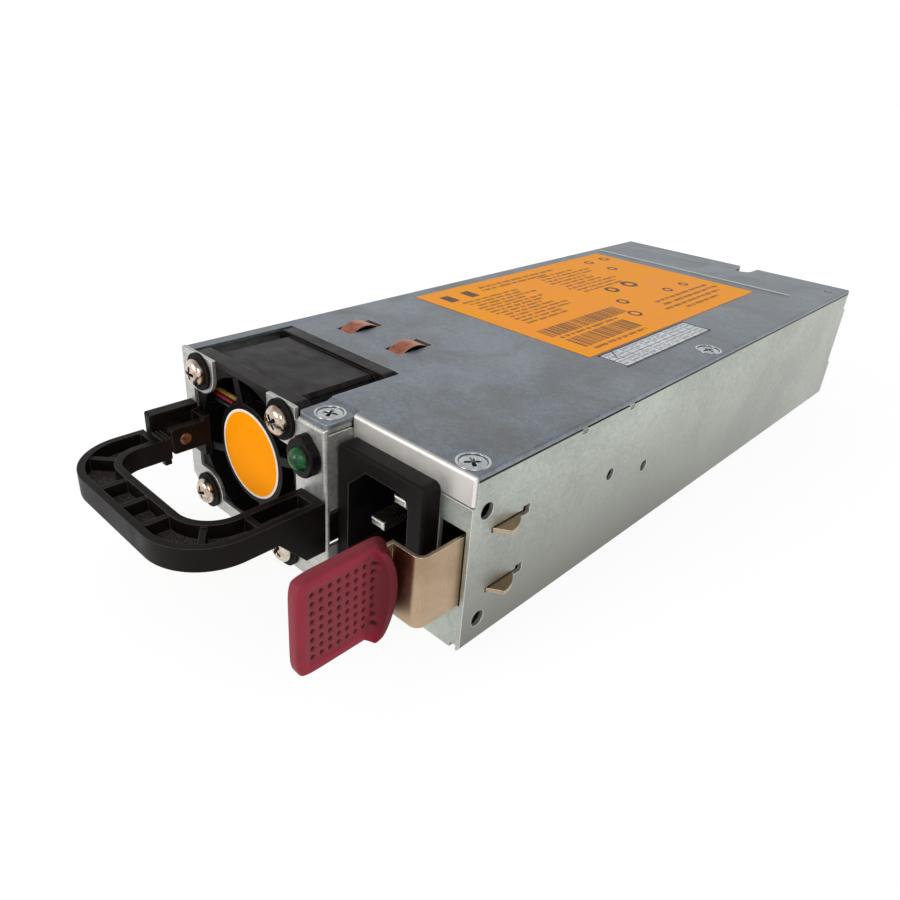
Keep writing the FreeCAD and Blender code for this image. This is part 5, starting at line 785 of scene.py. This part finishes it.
def pits(y, z):
    """Round pits exp(-(distance / radius)^4) at the nearest point of a square grid."""
    along = (y - PIT_FIRST_Y) / PIT_PITCH
    across = (z - PIT_FIRST_Z) / PIT_PITCH
    along = along - np.clip(np.round(along), 0, PITS - 1)
    across = across - np.clip(np.round(across), 0, PITS - 1)
    return np.exp(-(PIT_PITCH * np.hypot(along, across) / PIT_RADIUS) ** 4)


print("edge drop in mm at the very edge:", round(float(edge_drop(0.0)), 2))

# %% Grip faces
y, z, front, behind, side = grip_outline(FACE_REAR, FACE_BULGE)
border = BORDER_RISE * step((BORDER_WIDE - nearest(front, side)) / BORDER_FADE)
climb = RIM_RISE * np.clip((RIM_WIDE - behind) / RIM_FADE, 0, 1) ** 2
raised = (border + climb + np.sqrt((border - climb) ** 2 + 0.01)) / 2 - 0.05
outer_x = GRIP_FACE - DISH_DEEP + raised - edge_drop(nearest(front, side, behind, soft=0.15))
pit = pits(y, z)
outer_x -= PIT_DEEP * pit
outer = np.stack([outer_x, y, z], axis=-1)
y, z, front, behind, side = grip_outline(grip_high[1], BACK_BULGE)
gap = nearest(front, side, behind, soft=0.15)
inner_x = GRIP_BACK + HOLLOW_DEEP * step((gap - HOLLOW_FROM) / HOLLOW_FADE) + edge_drop(gap)
inner = np.stack([inner_x, y, z], axis=-1)
print("grip thickness in mm:", round(float((outer_x - inner_x).min()), 2), "to",
      round(float((outer_x - inner_x).max()), 2))

# %% [markdown]
# The two faces share their numbering, so their borders are joined point to point by a strip, and
# the grip is one closed skin. The maroon is painted duller in the dish and darker towards the rear,
# a painted shade, and brighter on the raised rim and border at the front, a painted highlight; the
# pits get painted shade too.

# %% Grip finish
GRIP_GRAIN, WEAR = 0.4, 6.0         # mm


def maroon():
    """Moulded nylon with painted light: painted shade in the dish, at the rear and in the pits, and
    a painted highlight on the raised border at the front.
    """
    material, add, place = begin("moulded_nylon_maroon")
    outward, along, _ = add("SeparateXYZ", {0: place})
    # Painted light: raised parts at the front take the bright crimson as a painted highlight, the
    # dish the duller tone as painted shade.
    high = add("MapRange", {
        "Value": outward, "From Min": GRIP_FACE - DISH_DEEP, "From Max": GRIP_FACE + DISH_DEEP})[0]
    front_highlight = add("MapRange", {
        "Value": along, "From Min": REAR_SHADE_FROM, "From Max": FRONT_HIGHLIGHT_FROM, "To Min": 0.15})[0]
    high = add("Math", {0: high, 1: front_highlight}, operation="MULTIPLY")[0]
    fine = add("TexNoise", {"Vector": place, "Scale": 1 / GRIP_GRAIN, "Detail": 3.0})[0]
    wide = add("TexNoise", {"Vector": place, "Scale": 1 / WEAR, "Detail": 5.0})[0]
    dish = add("Mix", {0: wide, 6: "#742831", 7: "#8b343f"})[2]
    rim = add("Mix", {0: wide, 6: "#940f33", 7: "#b21845"})[2]
    colour = add("Mix", {0: high, 6: dish, 7: rim})[2]
    # Painted shade darkens the grip towards the rear.
    shaded = add("MapRange", {
        "Value": front_highlight, "From Min": 1.0, "From Max": 0.15, "To Max": 0.65})[0]
    colour = add("Mix", {0: shaded, 6: colour, 7: "#4a1219"})[2]
    # Painted shade in the pits, from the attribute shade.
    deep = add("Attribute", attribute_name="shade")["Fac"]
    colour = add("Mix", {0: deep, 6: colour, 7: "#240810"})[2]
    uneven_surface(add, colour, (wide, 0.3, 0.7, 0.36, 0.52), (fine, 0.4, 0.05),
                   Specular_IOR_Level=0.12)
    return material


print("grip turns bright between", REAR_SHADE_FROM, "and", FRONT_HIGHLIGHT_FROM, "mm along")

# %% Grip piece
rows, columns = GRIP_SHAPE
number = np.arange(rows * columns).reshape(rows, columns)
loop = np.concatenate([number[0, :-1], number[:-1, -1], number[-1, :0:-1], number[:0:-1, 0]])
after = np.roll(loop, -1)
strip = np.stack([loop, loop + rows * columns, after + rows * columns, after], axis=-1)
grip_points = np.concatenate([outer.reshape(-1, 3), inner.reshape(-1, 3)])
grip_faces = np.concatenate([grid_faces(rows, columns),
                             grid_faces(rows, columns, start=rows * columns), strip])
# The pits' depth is kept as the attribute shade, for painted shade in them.
grip_shade = np.concatenate([pit.ravel(), 0 * pit.ravel()])
piece("release_grip", grip_points, grip_faces, maroon(), "latch", "grip_plastic", ["latch_grip"],
      grip_shade)

# %% [markdown]
# ## Print on the labels
# The orange label carries lines of small print, two striped blocks and some plain marks; the white
# one is a table of two rows with a pen tick. No wording or mark of anyone's is drawn: a line of
# print is a row of short bars of uneven length, and a mark is a plain ring or block. Ink is thin,
# so each bar is a closed box a hundredth of a millimetre high. All bars of one ink are one piece.

# %% Ink boxes
random = np.random.default_rng(11)
ORANGE_TOP = box_mm("rating_label")[1][2]
INK_RISE, BAR_GAP, WORD_GAP = 0.012, 0.2, 0.9       # mm


def rectangles(rows):
    """Corners of rows (x0, x1, y0, y1), in order round each one."""
    rows = np.asarray(rows, float)
    return np.stack([rows[:, [0, 1, 1, 0]], rows[:, [2, 2, 3, 3]]], axis=-1)


def slabs(corners, low, high):
    """Closed boxes over groups of four corners, between two heights."""
    flat = np.full(corners.shape[:2] + (1,), low)
    both = np.concatenate([np.concatenate([corners, flat], axis=-1),
                           np.concatenate([corners, flat + high - low], axis=-1)], axis=1)
    sides = np.array([[0, 3, 2, 1], [4, 5, 6, 7], [0, 1, 5, 4], [1, 2, 6, 5], [2, 3, 7, 6],
                      [3, 0, 4, 7]])
    faces = np.arange(len(corners))[:, None, None] * 8 + sides
    return both.reshape(-1, 3), faces.reshape(-1, 4)


print("ink stands", INK_RISE, "mm proud")

# %% Lines, stripes and rings
def print_line(x, start, end, tall, short=0.42, long=0.62):
    """A line of small bars along y: words of three to nine bars with a gap between them."""
    widths = random.uniform(short, long, int((end - start) / short))
    gaps = np.full(len(widths), BAR_GAP)
    gaps[np.cumsum(random.integers(3, 9, len(widths)))[:len(widths) // 5] % len(widths)] = WORD_GAP
    begins = start + np.concatenate([[0.0], np.cumsum(widths + gaps)[:-1]])
    keep = begins + widths < end
    tops = x + tall * random.uniform(0.72, 1.0, len(widths))
    rows = np.stack([np.full(len(widths), x), tops, begins, begins + widths], axis=-1)
    return rows[keep]


def stripes(x0, x1, start, end, narrow=0.22, wide=0.75):
    """Bars across x with uneven widths and gaps along y."""
    steps = random.uniform(narrow, wide, 2 * int((end - start) / narrow))
    edges = start + np.cumsum(steps)
    pairs = edges[:len(edges) // 2 * 2].reshape(-1, 2)
    pairs = pairs[pairs[:, 1] < end]
    return np.stack([np.full(len(pairs), x0), np.full(len(pairs), x1), pairs[:, 0],
                     pairs[:, 1]], axis=-1)


def ring_marks(marks, low, high, around=28):
    """Plain rings: a rectangle from the inner to the outer radius carried round each centre."""
    angle = np.linspace(0, 2 * math.pi, around, endpoint=False)
    parts = []
    for x, y, inside, outside in marks:
        section = np.array([[inside, low], [outside, low], [outside, high], [inside, high]])
        grid = np.stack([x + section[None, :, 0] * np.cos(angle)[:, None],
                         y + section[None, :, 0] * np.sin(angle)[:, None],
                         np.tile(section[:, 1], (around, 1))], axis=-1)
        grid = np.concatenate([grid, grid[:1]])
        parts.append((grid.reshape(-1, 3), grid_faces(around + 1, 4, around=True)))
    return parts


def ink(name, thin, full):
    """Thermal transfer ink: even from afar, a little broken where the ribbon missed the fibre."""
    return moulded(name, thin, full, full, 0.5, grain=0.3, relief=0.01, wide=0.8)


label_low, label_high = box_mm("rating_label")
print("orange label in mm:", np.round(label_low, 1), np.round(label_high, 1))

# %% Print on the orange label
pale, dark = [], []
for row in np.arange(-26.0, -1.5, 2.05):
    pale.append(print_line(row, -25.5 + random.uniform(0, 2.5), random.uniform(-6, 8), 1.05))
for row, start, end in ((9.3, -26, 2), (19.2, -25, 1), (-31.5, -10, 24), (-34.0, -9, 30),
                        (8.2, 26, 60), (11.0, 26, 62), (13.8, 22, 58), (16.6, 30, 52)):
    pale.append(print_line(row, start, end, 1.3))
bars = [stripes(2.8, 8.4, -28.0, 10.0), stripes(11.4, 18.0, -27.0, 2.0)]
for row in np.arange(-30.0, -10.5, 2.3):
    pale.append(print_line(row, 14.0 + random.uniform(0, 3), random.uniform(33, 44), 1.1))
dark.append([(-33.5, -28.2, -27.0, -23.4), (-33.5, -28.2, -18.0, -14.4)])
marks = [(-7.2, 26.4, 1.3, 2.5), (-7.4, 37.3, 1.5, 2.9), (-31.8, 50.4, 1.1, 1.8),
         (-31.7, 60.3, 1.2, 2.0), (-22.1, 50.5, 1.1, 1.9), (2.1, 17.6, 1.2, 2.1),
         (10.8, 10.0, 1.4, 2.2), (3.9, 42.5, 1.0, 1.8), (3.7, 53.6, 0.9, 1.7)]
top, printed = ORANGE_TOP, ORANGE_TOP + INK_RISE
piece("rating_print_pale", *slabs(rectangles(np.concatenate(pale)), top, printed),
      ink("printed_ink_pale", "#8f5412", "#7a450d"), "base", "label_orange")
piece("rating_print_dark", *joined([slabs(rectangles(np.concatenate(dark + bars)), top, printed)]
                                   + ring_marks(marks, top, printed)),
      ink("printed_ink_dark", "#5a3412", "#45260c"), "base", "label_orange")

# %% Table on the white label
white_low, white_high = box_mm("check_label")
LINE, BORDER = 0.22, 0.6              # mm
middle = (white_low[0] + white_high[0]) / 2
cell_ends = np.linspace(white_low[1] + 0.4, white_high[1] - 0.4, 11)
table = [(middle - LINE / 2, middle + LINE / 2, white_low[1], white_high[1])]
table += [(x, x + BORDER, white_low[1], white_high[1])
          for x in (white_low[0], white_high[0] - BORDER)]
table += [(white_low[0], white_high[0], y, y + BORDER)
          for y in (white_low[1], white_high[1] - BORDER)]
table += [(white_low[0] + 0.3, white_high[0] - 0.3, y - LINE / 2, y + LINE / 2)
          for y in cell_ends[1:-1]]
faint = [print_line(x, y + 0.7, y + 3.6, 0.9) for y in cell_ends[:-1]
         for x in (white_low[0] + 1.0, white_low[0] + 2.4, middle + 0.9, middle + 2.3)]
tick = np.array([(24.6, -28.3), (26.9, -27.2), (22.9, -23.9)]) + [0.6, 0.3]
side_step = np.array([0.12, 0.12])
strokes = np.stack([np.stack([a - side_step, b - side_step, b + side_step, a + side_step])
                    for a, b in zip(tick[:-1], tick[1:])])
top, printed = white_high[2], white_high[2] + INK_RISE
piece("check_table_lines", *joined([slabs(rectangles(table), top, printed),
                                    slabs(strokes, printed, printed + INK_RISE)]),
      ink("printed_ink_black", "#2b282c", "#1b191d"), "base", "label_white")
piece("check_table_print", *slabs(rectangles(np.concatenate(faint)), top, printed),
      ink("printed_ink_grey", "#a9a7ab", "#8f8c92"), "base", "label_white")

# %% [markdown]
# ## Studio: floor, light and camera
# The floor is plain white paper. Near the object it takes a soft shadow; further out it fades to
# plain white for whatever the camera, a mirror or glass sees, so no horizon shows. The light is a
# white sky, full at the horizon and dimmer overhead, as in a light tent with a dark top, and two
# weak panels that give the edges a direction. The camera stands close, to the front right and
# above, which gives a strong perspective, and a lens shift puts the object where it belongs in
# the frame.

# %% Floor
floor_mesh = bpy.data.meshes.new("floor")
FLOOR_HALF, FLOOR_LEVEL = 4.0, float(cad_low[2])            # m
SHADOW_NEAR, SHADOW_FAR, SHADOW_GLOW = 130.0, 330.0, 0.8    # mm, mm, share of plain white
PAPER_GLOW = 1.07                                           # just over white, so none of it dims
floor_mesh.from_pydata([(x * FLOOR_HALF, y * FLOOR_HALF, FLOOR_LEVEL)
                        for x, y in ((-1, -1), (1, -1), (1, 1), (-1, 1))], [], [(0, 1, 2, 3)])
floor = bpy.data.objects.new("floor", floor_mesh)
bpy.context.collection.objects.link(floor)
floor_paper, add, place = begin("white_floor_paper")
flat = add("VectorMath", {0: place, 1: (1.0, 1.0, 0.0)}, operation="MULTIPLY")[0]
far = add("VectorMath", {0: flat}, operation="LENGTH")["Value"]
fade = add("MapRange", {"Value": far, "From Min": SHADOW_NEAR, "From Max": SHADOW_FAR,
                        "To Min": SHADOW_GLOW}, interpolation_type="SMOOTHSTEP")[0]
path = add("LightPath")
seen = add("Math", {0: path["Is Camera Ray"], 1: path["Is Glossy Ray"]}, operation="MAXIMUM")[0]
seen = add("Math", {0: seen, 1: path["Is Transmission Ray"]}, operation="MAXIMUM")[0]
share = add("Math", {0: fade, 1: seen}, operation="MULTIPLY")[0]
paper = add("BsdfDiffuse", {"Color": "#ffffff"})[0]
glow = add("Emission", {"Color": "#ffffff", "Strength": PAPER_GLOW})[0]
mixed = add("MixShader", {0: share, 1: paper, 2: glow})[0]
add("OutputMaterial", {"Surface": mixed})
floor_mesh.materials.append(floor_paper)
floor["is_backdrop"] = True
print("floor", 2 * FLOOR_HALF, "m wide")

# %% Light
DIM_FROM, DIM_FULL = 0.25, 0.95                 # upward part of the direction
LIGHT_LOW, LIGHT_TOP = 0.95, 0.42               # strength of the sky
world = bpy.data.worlds.new("light_tent")
bpy.context.scene.world = world
world.use_nodes = True
world.node_tree.nodes.clear()
add = functools.partial(add_node, world.node_tree)
direction = add("TexCoord")["Generated"]
upward = add("SeparateXYZ", {0: direction})[2]
level = add("MapRange", {
    "Value": upward, "From Min": DIM_FROM, "From Max": DIM_FULL, "To Min": LIGHT_LOW,
    "To Max": LIGHT_TOP}, interpolation_type="SMOOTHSTEP")[0]
camera_ray = add("LightPath")["Is Camera Ray"]
level = add("Math", {0: level, 1: camera_ray}, operation="MAXIMUM")[0]
sky = add("Background", {"Color": "#ffffff", "Strength": level})[0]
add("OutputWorld", {"Surface": sky})
print("sky strength:", LIGHT_LOW, "low,", LIGHT_TOP, "on top")

# %% Light panels
def panel(name, place, size, power):
    """Square soft lamp, its place and size in m, that looks at the middle of the object."""
    lamp = bpy.data.lights.new(name, "AREA")
    lamp.size, lamp.energy = size, power
    made = bpy.data.objects.new(name, lamp)
    bpy.context.collection.objects.link(made)
    made.location = place
    made.rotation_euler = (-Vector(place)).to_track_quat("-Z", "Y").to_euler()


panel("panel_right_front", (0.75, -0.75, 0.7), 0.45, 3.0)
panel("panel_front", (-0.25, -0.95, 0.35), 0.35, 3.0)

# %% Camera
AZIMUTH, ELEVATION, ROLL = (math.radians(angle) for angle in (43.083, 27.279, 3.525))
DISTANCE, TARGET = 183.8, (-0.64, -65.324, 20.0)            # mm
FOCAL, FRAME_WIDTH, CENTRE = 738.345, 900.0, (423.228, 435.216)
right = Vector((math.cos(AZIMUTH), math.sin(AZIMUTH), 0))
back = Vector((math.sin(AZIMUTH) * math.cos(ELEVATION), -math.cos(AZIMUTH) * math.cos(ELEVATION),
               math.sin(ELEVATION)))
up = back.cross(right)
turned_right = math.cos(ROLL) * right + math.sin(ROLL) * up
turned_up = -math.sin(ROLL) * right + math.cos(ROLL) * up
lens = bpy.data.cameras.new("studio_camera")
camera = bpy.data.objects.new("studio_camera", lens)
bpy.context.collection.objects.link(camera)
turn = Matrix((turned_right, turned_up, back)).transposed().to_4x4()
camera.matrix_world = Matrix.Translation((Vector(TARGET) + back * DISTANCE) * MM) @ turn
lens.sensor_width = 36.0
lens.lens = FOCAL / FRAME_WIDTH * lens.sensor_width
lens.shift_x = (FRAME_WIDTH / 2 - CENTRE[0]) / FRAME_WIDTH
lens.shift_y = (CENTRE[1] - FRAME_WIDTH / 2) / FRAME_WIDTH
lens.clip_start = 0.01
bpy.context.scene.camera = camera
bpy.context.scene.view_settings.view_transform = "Standard"
print("lens in mm:", round(lens.lens, 2))

# %% [markdown]
# ## Sizes
# Both boxes, the CAD model's and the visual model's, are printed. The visual model must stay in
# the CAD model's box.

# %% Finish
low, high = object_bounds()
print("visual box in mm:", [round(value / MM, 1) for value in (*low, *high)])
